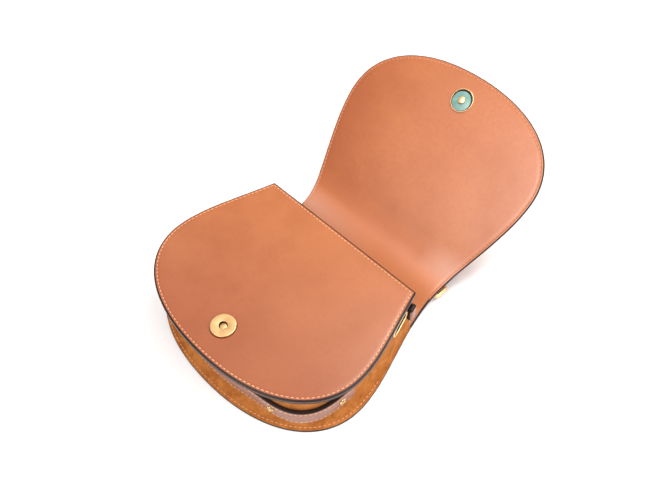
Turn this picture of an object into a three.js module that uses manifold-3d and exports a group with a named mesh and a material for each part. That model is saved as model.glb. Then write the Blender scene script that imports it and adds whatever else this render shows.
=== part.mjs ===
import * as THREE from 'three';
import { mergeVertices } from 'three/addons/utils/BufferGeometryUtils.js';
import ManifoldModule from 'manifold-3d';

// A small saddle-shaped leather flap bag, lying on its back with the flap standing open.
// Millimetres, +Z up. X runs across the bag, +Y from its bottom to the flap.
// The mouth line is y = 0 and the back panel's outer face is z = 0.

// Panels
const mouthHalf = 73.1;
const bellyHalf = 92.4;
const bellyAt = 76.2;
const panelLength = 135.5;
const bagDepth = 47;
const leather = 1.5;
const lining = 1.1;
const glue = 0.3;
const seam = 0.15;

// Spine and flap
const foldY = 0.6;
const openTilt = 41 * Math.PI / 180;
const spineWaist = 3.6;
const flapRootHalf = 72.8;
const flapBellyHalf = 89.7;

// Gusset and the band that runs in its channel
const gussetSheet = 1.4;
const edgeInset = 0.2;
const wallAtMouth = 2.6;
const wallDeep = 10.5;
const wallHalfHeight = 9;
const channelStart = 26;
const channelFull = 75;
const gussetFromMouth = 2;
const cornerBow = 6;
const cornerBowAt = 0.39;
const cornerBowHalf = 0.21;
const bandThick = 3;
const bandHeight = 14;
const bandStart = 76;
const bandDrop = 3;
const strapEndThick = 3.8;
const strapEndHeight = 13;
const strapEndLength = 7.4;
const strapEndRise = 6.5;
const eyeletRadius = 3.2;
const eyeletBore = 1.3;
const eyeletStations = [-0.56, -0.29, 0.29, 0.56];
const grommetLength = 22;
const grommetHeight = 10;
const grommetThick = 1.5;
const grommetRim = 1.7;
const grommetFromMouth = 21;
const grommetRise = 11;
const grommetStandOff = 0.7;

// Magnetic snap
const snapFromBottom = 23.9;
const snapFromTip = 21.4;
const cupRadius = 9;
const cupHeight = 2;
const cupBore = 3.3;
const stemRadius = 2;
const washerRadius = 6.2;
const washerThick = 0.9;
const plateRadius = 7.8;
const plateThick = 1;
const plateLift = 0.1;
const postRadius = 2.2;
const postHeight = 1.7;

// Handle and its rings
const handleFromSide = 12.6;
const tabWidth = 12;
const tabSheet = 1.2;
const tabShortLeg = 11;
const tabLongLeg = 12.5;
const wire = 3.2;
const ringHalfWidth = 11;
const ringReach = 12;
const wireRoom = 0.4;
const endWidth = 10;
const endTongue = 17;
const endSheet = 1.4;
const gripRadius = 4.2;
const gripFrom = 8;
const gripArch = 64;
const slotDepth = 10;
const rivetRadius = 1.4;
const rivetHead = 2.6;
const rivetHeadThick = 0.9;

const play = 0.3;
const innerPanel = leather + lining;
const flapInner = leather + glue + lining;
const midHeight = bagDepth / 2;
const bandMid = midHeight - bandDrop;
const handleHalf = mouthHalf - handleFromSide;
const snapFromMouth = panelLength - snapFromBottom;
const snapOnFlap = snapFromMouth + foldY;
const flapLength = snapOnFlap + snapFromTip;

// The spine is long enough for the shut flap to lie just above the snap.
const foldHeight = (innerPanel + flapInner) / 2;
const shutHeight = bagDepth + cupHeight + plateLift + plateThick + play;
const spineRadius = flapInner + (shutHeight - foldHeight) / (2 * Math.sin(openTilt / 2));

const bag = new THREE.Group();
bag.name = 'flap_bag';

const wasm = await ManifoldModule();
wasm.setup();

function add(name, geometry, color, roughness, metalness) {
  const material = new THREE.MeshStandardMaterial({ color, roughness, metalness });
  const mesh = new THREE.Mesh(geometry, material);
  mesh.name = name;
  bag.add(mesh);
}

const addLeather = (name, geometry) => add(name, geometry, 0xd6845a, 0.5, 0);
const addLining = (name, geometry) => add(name, geometry, 0xcd8741, 0.9, 0);
const addBrass = (name, geometry) => add(name, geometry, 0xe3c27d, 0.3, 1);

// Closed solids are welded before they go through the boolean kernel.
function toManifold(geometry) {
  const bare = geometry.clone();
  bare.deleteAttribute('normal');
  bare.deleteAttribute('uv');
  const welded = mergeVertices(bare, 1e-4);
  const vertProperties = new Float32Array(welded.attributes.position.array);
  const triVerts = new Uint32Array(welded.index.array);
  return new wasm.Manifold(new wasm.Mesh({ numProp: 3, vertProperties, triVerts }));
}

function cut(geometry, tools) {
  let body = toManifold(geometry);
  for (const tool of tools) {
    body = body.subtract(toManifold(tool));
  }
  const mesh = body.getMesh();
  const result = new THREE.BufferGeometry();
  result.setAttribute('position', new THREE.BufferAttribute(mesh.vertProperties, 3));
  result.setIndex(new THREE.BufferAttribute(mesh.triVerts, 1));
  return result;
}

// Joins equal rings of points, all run anticlockwise, into a closed skin and turns it outward.
function skin(rings, section) {
  const count = section.length;
  const index = [];
  for (let i = 0; i + 1 < rings.length; i++) {
    for (let j = 0; j < count; j++) {
      const a = i * count + j;
      const b = i * count + (j + 1) % count;
      index.push(a, b, b + count, a, b + count, a + count);
    }
  }
  const last = (rings.length - 1) * count;
  for (const [a, b, c] of THREE.ShapeUtils.triangulateShape(section, [])) {
    index.push(c, b, a);
    index.push(last + a, last + b, last + c);
  }
  const points = rings.flat();
  let volume = 0;
  for (let k = 0; k < index.length; k += 3) {
    const [p, q, r] = [points[index[k]], points[index[k + 1]], points[index[k + 2]]];
    volume += p.dot(new THREE.Vector3().crossVectors(q, r));
  }
  const geometry = new THREE.BufferGeometry().setFromPoints(points);
  geometry.setIndex(volume < 0 ? index.reverse() : index);
  return geometry;
}

// Right half of the saddle outline, from the straight edge to the middle of the round end.
function halfOutline(root, belly, length) {
  const flare = 0.28;
  const side = new THREE.CubicBezierCurve(
    new THREE.Vector2(root, 0),
    new THREE.Vector2(root + flare * 0.4 * bellyAt, 0.4 * bellyAt),
    new THREE.Vector2(belly, 0.71 * bellyAt),
    new THREE.Vector2(belly, bellyAt),
  );
  const round = new THREE.CubicBezierCurve(
    new THREE.Vector2(belly, bellyAt),
    new THREE.Vector2(belly, bellyAt + 0.59 * (length - bellyAt)),
    new THREE.Vector2(0.64 * belly, length),
    new THREE.Vector2(0, length),
  );
  const path = new THREE.CurvePath();
  path.add(side);
  path.add(round);
  return path;
}

// A flat sheet of that outline in the XY plane, running along +Y or -Y, with an optional tail past
// the straight edge and a round hole for the snap.
function sheet(path, direction, tail, thick, holeAt, holeRadius) {
  const half = path.getPoints(18).map((p) => new THREE.Vector2(p.x, p.y * direction));
  const root = half[0].x;
  const right = tail === 0 ? half : [new THREE.Vector2(root, -tail * direction), ...half];
  const left = right.slice(0, -1).reverse().map((p) => new THREE.Vector2(-p.x, p.y));
  const outline = [...right, ...left];
  const shape = new THREE.Shape(direction < 0 ? outline.reverse() : outline);
  if (holeRadius > 0) {
    const hole = new THREE.Path();
    hole.absarc(0, holeAt * direction, holeRadius, 0, 2 * Math.PI, true);
    shape.holes.push(hole);
  }
  return new THREE.ExtrudeGeometry(shape, { depth: thick, bevelEnabled: false, curveSegments: 14 });
}

const lathe = (points, segments) => new THREE.LatheGeometry(
  [...points, points[0]].map(([r, h]) => new THREE.Vector2(r, h)),
  segments,
).rotateX(Math.PI / 2);

// Front and back panels, flat, each a leather with its lining glued inside.
const panelPath = halfOutline(mouthHalf, bellyHalf, panelLength);
const washerHole = washerRadius + play;
const backTail = foldY - seam;
addLeather('back_panel', sheet(panelPath, -1, backTail, leather, 0, 0));
addLining('back_lining', sheet(panelPath, -1, backTail, lining, 0, 0).translate(0, 0, leather));
addLeather(
  'front_panel',
  sheet(panelPath, -1, 0, leather, snapFromMouth, stemRadius + play).translate(0, 0, bagDepth - leather),
);
addLining(
  'front_lining',
  sheet(panelPath, -1, 0, lining, snapFromMouth, washerHole).translate(0, 0, bagDepth - innerPanel),
);

// The gusset follows the panel edge. Station -1 is the left mouth corner and +1 the right one.
const edgeLength = panelPath.getLength();
const fromMouth = (station) => (1 - Math.abs(station)) * edgeLength;
const stationAt = (distance) => 1 - distance / edgeLength;

// The channel's wall stands further in away from the mouth and bows out again at each bottom corner.
const wallAt = (station) => {
  const deep = THREE.MathUtils.smoothstep(fromMouth(station), channelStart, channelFull);
  const away = Math.min(Math.abs(Math.abs(station) - cornerBowAt) / cornerBowHalf, 1);
  const bow = cornerBow * Math.cos(away * Math.PI / 2) ** 2;
  return THREE.MathUtils.lerp(wallAtMouth, wallDeep, deep) - bow;
};

function edgeFrame(station) {
  const t = 1 - Math.abs(station);
  const side = station < 0 ? -1 : 1;
  const p = panelPath.getPoint(t);
  const tangent = panelPath.getTangent(t);
  const point = new THREE.Vector3(side * p.x, -p.y, 0);
  const inward = new THREE.Vector3(-side * tangent.y, -tangent.x, 0).normalize();
  return { point, inward };
}

function sweepEdge(from, to, steps, sectionAt) {
  const rings = [];
  for (let i = 0; i <= steps; i++) {
    const station = THREE.MathUtils.lerp(from, to, i / steps);
    const { point, inward } = edgeFrame(station);
    rings.push(sectionAt(station).map((s) => (
      point.clone().addScaledVector(inward, s.x).setZ(s.y)
    )));
  }
  return skin(rings, sectionAt(to));
}

// Gives a line of points a thickness, mitred at the bends.
function thicken(line, thick) {
  const offset = (side) => line.map((p, i) => {
    const before = p.clone().sub(line[Math.max(i - 1, 0)]).normalize();
    const after = line[Math.min(i + 1, line.length - 1)].clone().sub(p).normalize();
    const along = before.clone().add(after).normalize();
    const normal = new THREE.Vector2(-along.y, along.x);
    const end = i === 0 ? after : before;
    const stretch = Math.abs(normal.dot(new THREE.Vector2(-end.y, end.x)));
    return p.clone().addScaledVector(normal, side * thick / 2 / stretch);
  });
  return [...offset(-1), ...offset(1).reverse()];
}

function gussetSection(station) {
  const wall = wallAt(station);
  const top = bagDepth - innerPanel - gussetSheet / 2;
  const bottom = innerPanel + gussetSheet / 2;
  const knee = THREE.MathUtils.lerp(edgeInset, wall, 0.55);
  const line = [
    new THREE.Vector2(edgeInset, top),
    new THREE.Vector2(knee, top),
    new THREE.Vector2(wall, midHeight + wallHalfHeight),
    new THREE.Vector2(wall, bandMid - wallHalfHeight),
    new THREE.Vector2(knee, bottom),
    new THREE.Vector2(edgeInset, bottom),
  ];
  return thicken(line, gussetSheet);
}

const bandBack = (station) => wallAt(station) - gussetSheet / 2 - play;
const bandFront = (station) => bandBack(station) - bandThick;

const strapSection = (front, back, middle, height) => [
  new THREE.Vector2(front, middle - height / 2),
  new THREE.Vector2(back, middle - height / 2),
  new THREE.Vector2(back, middle + height / 2),
  new THREE.Vector2(front, middle + height / 2),
];
const bandSection = (station) => (
  strapSection(bandFront(station), bandBack(station), bandMid, bandHeight)
);

// The same frame on the band's outer face, which turns a little where the band bows.
function bandFrame(station) {
  const onBand = (s) => {
    const { point, inward } = edgeFrame(s);
    return point.addScaledVector(inward, bandFront(s));
  };
  const along = onBand(station + 0.005).sub(onBand(station - 0.005)).normalize();
  return { point: onBand(station), inward: new THREE.Vector3(-along.y, along.x, 0) };
}

// Moves a piece made facing +Z so that it faces out of the gusset, at a depth inside a frame and a height.
function faceOut(geometry, { point, inward }, inset, height) {
  const up = new THREE.Vector3(0, 0, 1);
  const out = inward.clone().negate();
  const across = new THREE.Vector3().crossVectors(up, out);
  const place = new THREE.Matrix4().makeBasis(across, up, out);
  place.setPosition(point.addScaledVector(inward, inset).setZ(height));
  return geometry.applyMatrix4(place);
}

function stadium(length, height) {
  const reach = (length - height) / 2;
  const shape = new THREE.Shape();
  shape.absarc(reach, 0, height / 2, -Math.PI / 2, Math.PI / 2, false);
  shape.absarc(-reach, 0, height / 2, Math.PI / 2, 3 * Math.PI / 2, false);
  return shape;
}

const slotLength = grommetLength - 2 * grommetRim;
const slotHeight = grommetHeight - 2 * grommetRim;
const grommetStation = stationAt(grommetFromMouth);
const grommetHeightAt = midHeight + grommetRise;
const slotTool = (station) => faceOut(
  new THREE.ExtrudeGeometry(stadium(slotLength, slotHeight), { depth: 20, bevelEnabled: false }),
  edgeFrame(station),
  wallAtMouth + 10,
  grommetHeightAt,
);
const gussetEnd = stationAt(gussetFromMouth);
const gussetStrip = sweepEdge(-gussetEnd, gussetEnd, 50, gussetSection);
addLining('gusset', cut(gussetStrip, [slotTool(grommetStation), slotTool(-grommetStation)]));

// Oval brass grommets on the gusset ends, one at each mouth corner.
function grommet(station) {
  const bevel = 0.4;
  const shape = stadium(grommetLength - 2 * bevel, grommetHeight - 2 * bevel);
  const opening = stadium(slotLength + 2 * bevel, slotHeight + 2 * bevel);
  shape.holes.push(new THREE.Path(opening.getPoints(7).reverse()));
  const geometry = new THREE.ExtrudeGeometry(shape, {
    depth: grommetThick - 2 * bevel,
    bevelThickness: bevel,
    bevelSize: bevel,
    bevelSegments: 1,
    curveSegments: 7,
  });
  const seat = wallAt(station) - gussetSheet / 2 - grommetStandOff;
  return faceOut(geometry.translate(0, 0, bevel), edgeFrame(station), seat, grommetHeightAt);
}

addBrass('grommet_left', grommet(-grommetStation));
addBrass('grommet_right', grommet(grommetStation));

// The band in the channel, with four brass eyelets set through it.
const eyeletTool = (station) => faceOut(
  new THREE.CylinderGeometry(eyeletBore + 1, eyeletBore + 1, 12, 20).rotateX(Math.PI / 2),
  bandFrame(station),
  bandThick,
  bandMid,
);
const bandEnd = stationAt(bandStart);
addLeather(
  'gusset_band',
  cut(sweepEdge(-bandEnd, bandEnd, 40, bandSection), eyeletStations.map(eyeletTool)),
);

const eyelet = lathe(
  [
    [eyeletBore, -bandThick + play],
    [eyeletBore + 0.7, -bandThick + play],
    [eyeletBore + 0.7, play],
    [eyeletRadius, play],
    [eyeletRadius, play + 0.5],
    [eyeletRadius - 0.6, play + 0.9],
    [eyeletBore + 0.4, play + 0.9],
    [eyeletBore, play + 0.5],
  ],
  20,
);
eyeletStations.forEach((station, i) => {
  addBrass(`band_eyelet_${i + 1}`, faceOut(eyelet.clone(), bandFrame(station), 0, bandMid));
});

// Short strap ends sewn to the gusset beside the grommets, at the mouth corners.
const strapEndSection = (station) => {
  const back = bandBack(station) - play;
  return strapSection(back - strapEndThick, back, midHeight + strapEndRise, strapEndHeight);
};
const strapEndStart = stationAt(gussetFromMouth + strapEndLength);
addLeather('strap_end_left', sweepEdge(-gussetEnd, -strapEndStart, 6, strapEndSection));
addLeather('strap_end_right', sweepEdge(strapEndStart, gussetEnd, 6, strapEndSection));

// Front half of the magnetic snap: a thick cup on the panel, its magnet and its inner washer.
const onFront = (geometry) => geometry.translate(0, -snapFromMouth, bagDepth);
addBrass('front_snap_cup', onFront(lathe(
  [
    [cupBore, 0.5],
    [cupBore + 0.9, 0.5],
    [cupBore + 0.9, 1.3],
    [cupRadius - 1, 1.3],
    [cupRadius - 1, 0],
    [cupRadius, 0],
    [cupRadius, cupHeight - 0.7],
    [cupRadius - 0.7, cupHeight],
    [cupBore + 0.4, cupHeight],
    [cupBore, cupHeight - 0.4],
  ],
  32,
)));
addBrass('front_snap_magnet', onFront(lathe(
  [
    [cupBore + 1.2, 0.1],
    [cupRadius - 1.3, 0.1],
    [cupRadius - 1.3, 1],
    [cupBore + 1.2, 1],
  ],
  24,
)));
addBrass('front_snap_washer', onFront(lathe(
  [
    [0, -leather - washerThick - 0.1],
    [washerRadius, -leather - washerThick - 0.1],
    [washerRadius, -leather - 0.1],
    [stemRadius, -leather - 0.1],
    [stemRadius, 0.3],
    [0, 0.3],
  ],
  24,
)));

// The spine is an arc of the same leather, tangent to the floor at the first fold and to the open
// flap at the second. It is narrowed to a waist between them.
const arcPoint = (angle, outward) => new THREE.Vector2(
  foldY + (spineRadius + outward) * Math.sin(angle),
  spineRadius - (spineRadius + outward) * Math.cos(angle),
);
const seamAngle = seam / spineRadius;

function spineSheet(outer, thick) {
  const rings = [];
  const steps = 18;
  for (let i = 0; i <= steps; i++) {
    const t = i / steps;
    const angle = THREE.MathUtils.lerp(seamAngle, openTilt - seamAngle, t);
    const half = THREE.MathUtils.lerp(mouthHalf, flapRootHalf, t) - spineWaist * Math.sin(Math.PI * t);
    const low = arcPoint(angle, outer);
    const high = arcPoint(angle, outer - thick);
    rings.push([
      new THREE.Vector3(-half, low.x, low.y),
      new THREE.Vector3(half, low.x, low.y),
      new THREE.Vector3(half, high.x, high.y),
      new THREE.Vector3(-half, high.x, high.y),
    ]);
  }
  const section = [[0, 0], [2, 0], [2, 1], [0, 1]].map(([x, y]) => new THREE.Vector2(x, y));
  return skin(rings, section);
}

addLeather('spine', spineSheet(0, leather));
addLining('spine_lining', spineSheet(-leather - glue, lining));

// The flap continues straight from the spine. Its local z = 0 is its outer face.
const flapPath = halfOutline(flapRootHalf, flapBellyHalf, flapLength);
const flapStart = arcPoint(openTilt, 0);
const onFlap = (geometry) => geometry.translate(0, seam, 0)
  .rotateX(openTilt)
  .translate(0, flapStart.x, flapStart.y);
const onFlapSnap = (geometry) => onFlap(geometry.translate(0, snapOnFlap - seam, flapInner));
addLeather('flap', onFlap(sheet(flapPath, 1, 0, leather, 0, 0)));
addLining(
  'flap_lining',
  onFlap(sheet(flapPath, 1, 0, lining, snapOnFlap - seam, washerHole).translate(0, 0, leather + glue)),
);

// Flap half of the snap: face plate, post, and the washer let into the lining.
addBrass('flap_snap_plate', onFlapSnap(lathe(
  [
    [postRadius + 0.2, plateLift],
    [plateRadius, plateLift],
    [plateRadius, plateLift + 0.6],
    [plateRadius - 0.4, plateLift + plateThick],
    [plateRadius - 1.2, plateLift + plateThick],
    [plateRadius - 1.5, plateLift + 0.7],
    [postRadius + 0.2, plateLift + 0.7],
  ],
  32,
)));
addBrass('flap_snap_post', onFlapSnap(lathe(
  [
    [0, -lining],
    [postRadius, -lining],
    [postRadius, plateThick + postHeight - 0.5],
    [postRadius - 0.5, plateThick + postHeight],
    [0, plateThick + postHeight],
  ],
  20,
)));
addBrass('flap_snap_washer', onFlapSnap(lathe(
  [
    [postRadius + 0.2, -lining + 0.1],
    [washerRadius, -lining + 0.1],
    [washerRadius, -lining + 0.1 + washerThick],
    [postRadius + 0.2, -lining + 0.1 + washerThick],
  ],
  24,
)));

// Handle tabs: a short strap stitched over each ring's bar on the outside of the spine.
// The section is drawn flat, distance along the spine by distance off it, then bent to the arc.
const wireRadius = wire / 2;
const loopInner = wireRadius + wireRoom;
const barOff = loopInner + play;
const barHeight = gripRadius + 0.2;
const tabAngle = Math.acos((spineRadius - barHeight) / (spineRadius + barOff));
const bendToSpine = (p) => arcPoint(tabAngle + p.x / spineRadius, p.y);

function tabSection() {
  const outer = loopInner + tabSheet;
  const shape = new THREE.Shape();
  shape.moveTo(-tabShortLeg, play);
  shape.lineTo(-loopInner, play);
  shape.lineTo(-loopInner, barOff);
  shape.absarc(0, barOff, loopInner, Math.PI, 0, true);
  shape.lineTo(loopInner, play);
  shape.lineTo(tabLongLeg, play);
  shape.lineTo(tabLongLeg, play + tabSheet);
  shape.lineTo(outer, play + tabSheet);
  shape.lineTo(outer, barOff);
  shape.absarc(0, barOff, outer, 0, Math.PI, false);
  shape.lineTo(-outer, play + tabSheet);
  shape.lineTo(-tabShortLeg, play + tabSheet);
  return shape.getPoints(12).map(bendToSpine);
}

// Extrudes a (y, z) section along X, centred on a given x.
const extrudeAcross = (section, width, x, holes = []) => {
  const shape = new THREE.Shape(section);
  shape.holes.push(...holes.map((points) => new THREE.Path(points)));
  const geometry = new THREE.ExtrudeGeometry(shape, { depth: width, bevelEnabled: false });
  const turn = new THREE.Matrix4().makeBasis(
    new THREE.Vector3(0, 1, 0),
    new THREE.Vector3(0, 0, 1),
    new THREE.Vector3(1, 0, 0),
  );
  return geometry.applyMatrix4(turn).translate(x - width / 2, 0, 0);
};

const tabRivetAt = (loopInner + tabSheet + tabLongLeg) / 2;
const tabRivetAngle = tabAngle + tabRivetAt / spineRadius;

function offSpine(geometry, x, angle) {
  const foot = arcPoint(angle, 0);
  return geometry.rotateX(Math.PI + angle).translate(x, foot.x, foot.y);
}

const tabRivet = lathe(
  [
    [0, play],
    [rivetRadius, play],
    [rivetRadius, 2 * play + tabSheet],
    [rivetHead, 2 * play + tabSheet],
    [rivetHead, 2 * play + tabSheet + 0.4],
    [rivetHead - 0.9, 2 * play + tabSheet + rivetHeadThick],
    [0, 2 * play + tabSheet + rivetHeadThick],
  ],
  20,
);
const rivetTool = (length) => new THREE.CylinderGeometry(
  rivetRadius + play,
  rivetRadius + play,
  length,
  20,
).rotateX(Math.PI / 2);

// Rings: a rounded rectangle of wire through each tab, lying level with its far bar inside the handle end.
const bar = arcPoint(tabAngle, barOff);
const farBar = new THREE.Vector2(bar.x + ringReach, bar.y);

function ringShape(halfWidth, halfLength, corner) {
  const shape = new THREE.Shape();
  shape.absarc(halfWidth - corner, halfLength - corner, corner, 0, Math.PI / 2, false);
  shape.absarc(corner - halfWidth, halfLength - corner, corner, Math.PI / 2, Math.PI, false);
  shape.absarc(corner - halfWidth, corner - halfLength, corner, Math.PI, 3 * Math.PI / 2, false);
  shape.absarc(halfWidth - corner, corner - halfLength, corner, 3 * Math.PI / 2, 2 * Math.PI, false);
  return shape;
}

function ring(x) {
  const bevel = 0.9;
  const halfLength = ringReach / 2 + wireRadius;
  const inner = ringShape(ringHalfWidth - wire + bevel, halfLength - wire + bevel, 2.2);
  const shape = ringShape(ringHalfWidth - bevel, halfLength - bevel, 3.6);
  shape.holes.push(new THREE.Path(inner.getPoints(5).reverse()));
  const geometry = new THREE.ExtrudeGeometry(shape, {
    depth: wire - 2 * bevel,
    bevelThickness: bevel,
    bevelSize: bevel,
    bevelSegments: 1,
    curveSegments: 5,
  });
  return geometry.translate(x, bar.x + ringReach / 2, bar.y - wireRadius + bevel);
}

// Handle ends: leather folded round the ring's far bar, its tongue held in a slot in the grip.
function endSection() {
  const outer = loopInner + endSheet;
  const join = Math.asin(endSheet / outer);
  const shape = new THREE.Shape();
  shape.absarc(farBar.x, farBar.y, outer, join, 2 * Math.PI - join, false);
  shape.lineTo(farBar.x + endTongue, farBar.y - endSheet);
  shape.lineTo(farBar.x + endTongue, farBar.y + endSheet);
  return shape.getPoints(14);
}

function loopHole() {
  const hole = new THREE.Path();
  hole.absarc(farBar.x, farBar.y, loopInner, 0, 2 * Math.PI, true);
  return hole.getPoints(14);
}

const gripStart = farBar.x + gripFrom;
const rivetY = gripStart + slotDepth / 2;
const seatHeight = gripRadius - 1.1;
const endRivet = lathe(
  [
    [0, -seatHeight - rivetHeadThick],
    [rivetHead - 0.6, -seatHeight - rivetHeadThick],
    [rivetHead, -seatHeight - 0.4],
    [rivetHead, -seatHeight],
    [rivetRadius, -seatHeight],
    [rivetRadius, seatHeight],
    [rivetHead, seatHeight],
    [rivetHead, seatHeight + 0.4],
    [rivetHead - 0.6, seatHeight + rivetHeadThick],
    [0, seatHeight + rivetHeadThick],
  ],
  20,
);

for (const [name, side] of [['left', -1], ['right', 1]]) {
  const x = side * handleHalf;
  addLeather(
    `handle_tab_${name}`,
    cut(extrudeAcross(tabSection(), tabWidth, x), [offSpine(rivetTool(8), x, tabRivetAngle)]),
  );
  addBrass(`tab_rivet_${name}`, offSpine(tabRivet.clone(), x, tabRivetAngle));
  addBrass(`ring_${name}`, ring(x));
  addLeather(
    `handle_end_${name}`,
    cut(
      extrudeAcross(endSection(), endWidth, x, [loopHole()]),
      [rivetTool(12).translate(x, rivetY, farBar.y)],
    ),
  );
  addBrass(`handle_rivet_${name}`, endRivet.clone().translate(x, rivetY, farBar.y));
}

// The rolled grip: one arch of round section, slotted at both ends for the tongues and riveted.
const gripReach = gripArch * 4 / 3;
const gripPath = new THREE.CubicBezierCurve3(
  new THREE.Vector3(-handleHalf, gripStart, farBar.y),
  new THREE.Vector3(-handleHalf, gripStart + gripReach, farBar.y),
  new THREE.Vector3(handleHalf, gripStart + gripReach, farBar.y),
  new THREE.Vector3(handleHalf, gripStart, farBar.y),
);
const gripSection = new THREE.Shape().absarc(0, 0, gripRadius, 0, 2 * Math.PI, false);
const grip = new THREE.ExtrudeGeometry(gripSection, { steps: 30, extrudePath: gripPath, curveSegments: 9 });
const gripTools = [-handleHalf, handleHalf].flatMap((x) => {
  const slot = new THREE.BoxGeometry(4 * gripRadius, 2 * slotDepth, 2 * (endSheet + play));
  const seat = new THREE.CylinderGeometry(rivetHead + play, rivetHead + play, 4, 20).rotateX(Math.PI / 2);
  return [
    slot.translate(x, gripStart, farBar.y),
    rivetTool(12).translate(x, rivetY, farBar.y),
    seat.clone().translate(x, rivetY, farBar.y + seatHeight + 2 - play),
    seat.clone().translate(x, rivetY, farBar.y - seatHeight - 2 + play),
  ];
});
addLeather('handle_grip', cut(grip, gripTools));

export default bag;
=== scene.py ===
import math

import bmesh
import bpy
import numpy as np
from mathutils import Matrix, Vector


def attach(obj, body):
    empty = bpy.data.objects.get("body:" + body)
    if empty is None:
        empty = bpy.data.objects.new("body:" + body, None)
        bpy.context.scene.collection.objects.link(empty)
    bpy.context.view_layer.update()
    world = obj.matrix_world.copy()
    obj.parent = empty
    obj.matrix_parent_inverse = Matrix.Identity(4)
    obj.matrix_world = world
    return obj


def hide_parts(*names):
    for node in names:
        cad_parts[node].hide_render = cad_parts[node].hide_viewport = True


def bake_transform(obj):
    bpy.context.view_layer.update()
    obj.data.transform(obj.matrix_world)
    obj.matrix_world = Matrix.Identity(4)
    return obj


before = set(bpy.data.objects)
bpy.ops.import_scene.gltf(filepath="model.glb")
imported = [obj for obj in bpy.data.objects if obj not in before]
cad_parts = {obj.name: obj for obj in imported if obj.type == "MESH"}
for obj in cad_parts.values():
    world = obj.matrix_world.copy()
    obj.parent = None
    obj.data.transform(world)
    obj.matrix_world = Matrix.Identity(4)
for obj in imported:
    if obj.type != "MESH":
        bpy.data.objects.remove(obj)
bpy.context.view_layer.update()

# The hide. Back panel, spine and flap are one cut of smooth tan calf with a second skin glued inside,
# stitched round the rim and painted dark along the cut edge. It is made as two sheets that meet in the
# middle of the spine, one bending at the back fold and one at the flap fold.
MM = 0.001
# Sizes are in millimetres, turned into metres by MM. Colours are linear.
MOUTH_HALF = 73.1
BELLY_HALF = 92.4
BELLY_AT = 76.2
PANEL_LENGTH = 135.5
FOLD_Y = 0.6
SPINE_RADIUS = 70.93
OPEN_TILT = math.radians(41)
SPINE_WAIST = 3.6
FLAP_ROOT_HALF = 72.8
FLAP_BELLY_HALF = 89.7
FLAP_LENGTH = 133.6
BACK_THICK = 2.6
FLAP_THICK = 2.9
SPINE_LENGTH = SPINE_RADIUS * OPEN_TILT
# How far the side and the round end of the saddle outline are pulled out between their ends.
SIDE_LEAN = 0.28
SIDE_PULL = 0.4
SIDE_END = 0.71
ROUND_PULL = 0.59
ROUND_END = 0.64
SIDE_POINTS = 60
ROUND_POINTS = 80
WELD = 0.002
SHORTEST_EDGE = 0.0001
CALF_TAN = (0.420, 0.124, 0.041, 1.0)
CALF_DARK = (0.325, 0.080, 0.020, 1.0)
CALF_LIGHT = (0.485, 0.163, 0.063, 1.0)
CALF_ROUGH = (0.285, 0.37)
CALF_PEBBLES = 1500.0
CALF_BUMP = (0.11, 0.4)
# Painted light and shade on the hide's colour, and the distances along or across the bag over which they
# come and go: painted shade deepening its left side, painted light paling the bent spine, and a painted
# sheen at each end of the bend.
# Painted light: a paler tone over the spine's bend, which lies in shade between the front panel and the
# flap.
BEND_PAINTED_LIGHT = (0.530, 0.160, 0.054, 1.0)
BEND_NEAR = (-8.0, 12.0)
BEND_FAR = (24.0, 55.0)
# Painted sheen: a pale pinkish colour at the two ends of the bend, standing in for highlights there.
PAINTED_SHEEN = (0.58, 0.305, 0.218, 1.0)
LEFT_SHEEN_SPOT = ((13.0, 26.0), (28.0, 42.0), (-62.0, 12.0), (0.55, 0.0))
RIGHT_SHEEN_SPOT = ((36.0, 45.0), (47.0, 58.0), (40.0, 61.0), (0.0, 0.5))
# Painted shade: a darker colour multiplied over the hide towards its left side.
LEFT_PAINTED_SHADE = (0.774, 0.645, 0.488, 1.0)
LEFT_SHADE_RANGE = (-45.0, 10.0)
ALONG = (0.0, 1.0, 0.0)
ACROSS = (1.0, 0.0, 0.0)
FROM_LEFT = (1.0, 0.5, 0.0)
EDGE_PAINT = (0.013, 0.009, 0.009, 1.0)
EDGE_PAINT_DARK = (0.008, 0.005, 0.005, 1.0)
EDGE_PAINT_LIGHT = (0.05, 0.03, 0.028, 1.0)
EDGE_PAINT_ROUGH = (0.28, 0.45)
THREAD = (0.80, 0.42, 0.22, 1.0)
THREAD_DARK = (0.68, 0.32, 0.16, 1.0)
THREAD_LIGHT = (0.92, 0.58, 0.36, 1.0)
UNDER_THREAD = (0.62, 0.27, 0.12, 1.0)
UNDER_THREAD_DARK = (0.52, 0.20, 0.08, 1.0)
UNDER_THREAD_LIGHT = (0.72, 0.36, 0.18, 1.0)
THREAD_ROUGH = (0.5, 0.65)
THREAD_PLIES = 2600.0
THREAD_BUMP = (0.3, 0.2)
# Painted shade where the thread sinks into its needle holes.
HOLE_SHADE = (0.10, 0.028, 0.012, 1.0)
HOLE_ROUGH = (0.6, 0.8)


def node(tree, kind, **values):
    """A shader node with its inputs set by name, or linked where the value is an output socket."""
    made = tree.nodes.new(kind)
    for key, value in values.items():
        target = made.inputs[key.replace("_", " ")]
        if isinstance(value, bpy.types.NodeSocket):
            tree.links.new(value, target)
        else:
            target.default_value = value
    return made


def noise(tree, place, **values):
    """A noise over the surface."""
    return node(tree, "ShaderNodeTexNoise", Vector=place, **values).outputs[0]


def mix(tree, factor, first, second, blend="MIX"):
    """A colour mix node's result."""
    made = tree.nodes.new("ShaderNodeMix")
    made.data_type = "RGBA"
    made.blend_type = blend
    for socket, value in ((made.inputs[0], factor), (made.inputs[6], first), (made.inputs[7], second)):
        if isinstance(value, bpy.types.NodeSocket):
            tree.links.new(value, socket)
        else:
            socket.default_value = value
    return made.outputs[2]


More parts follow.
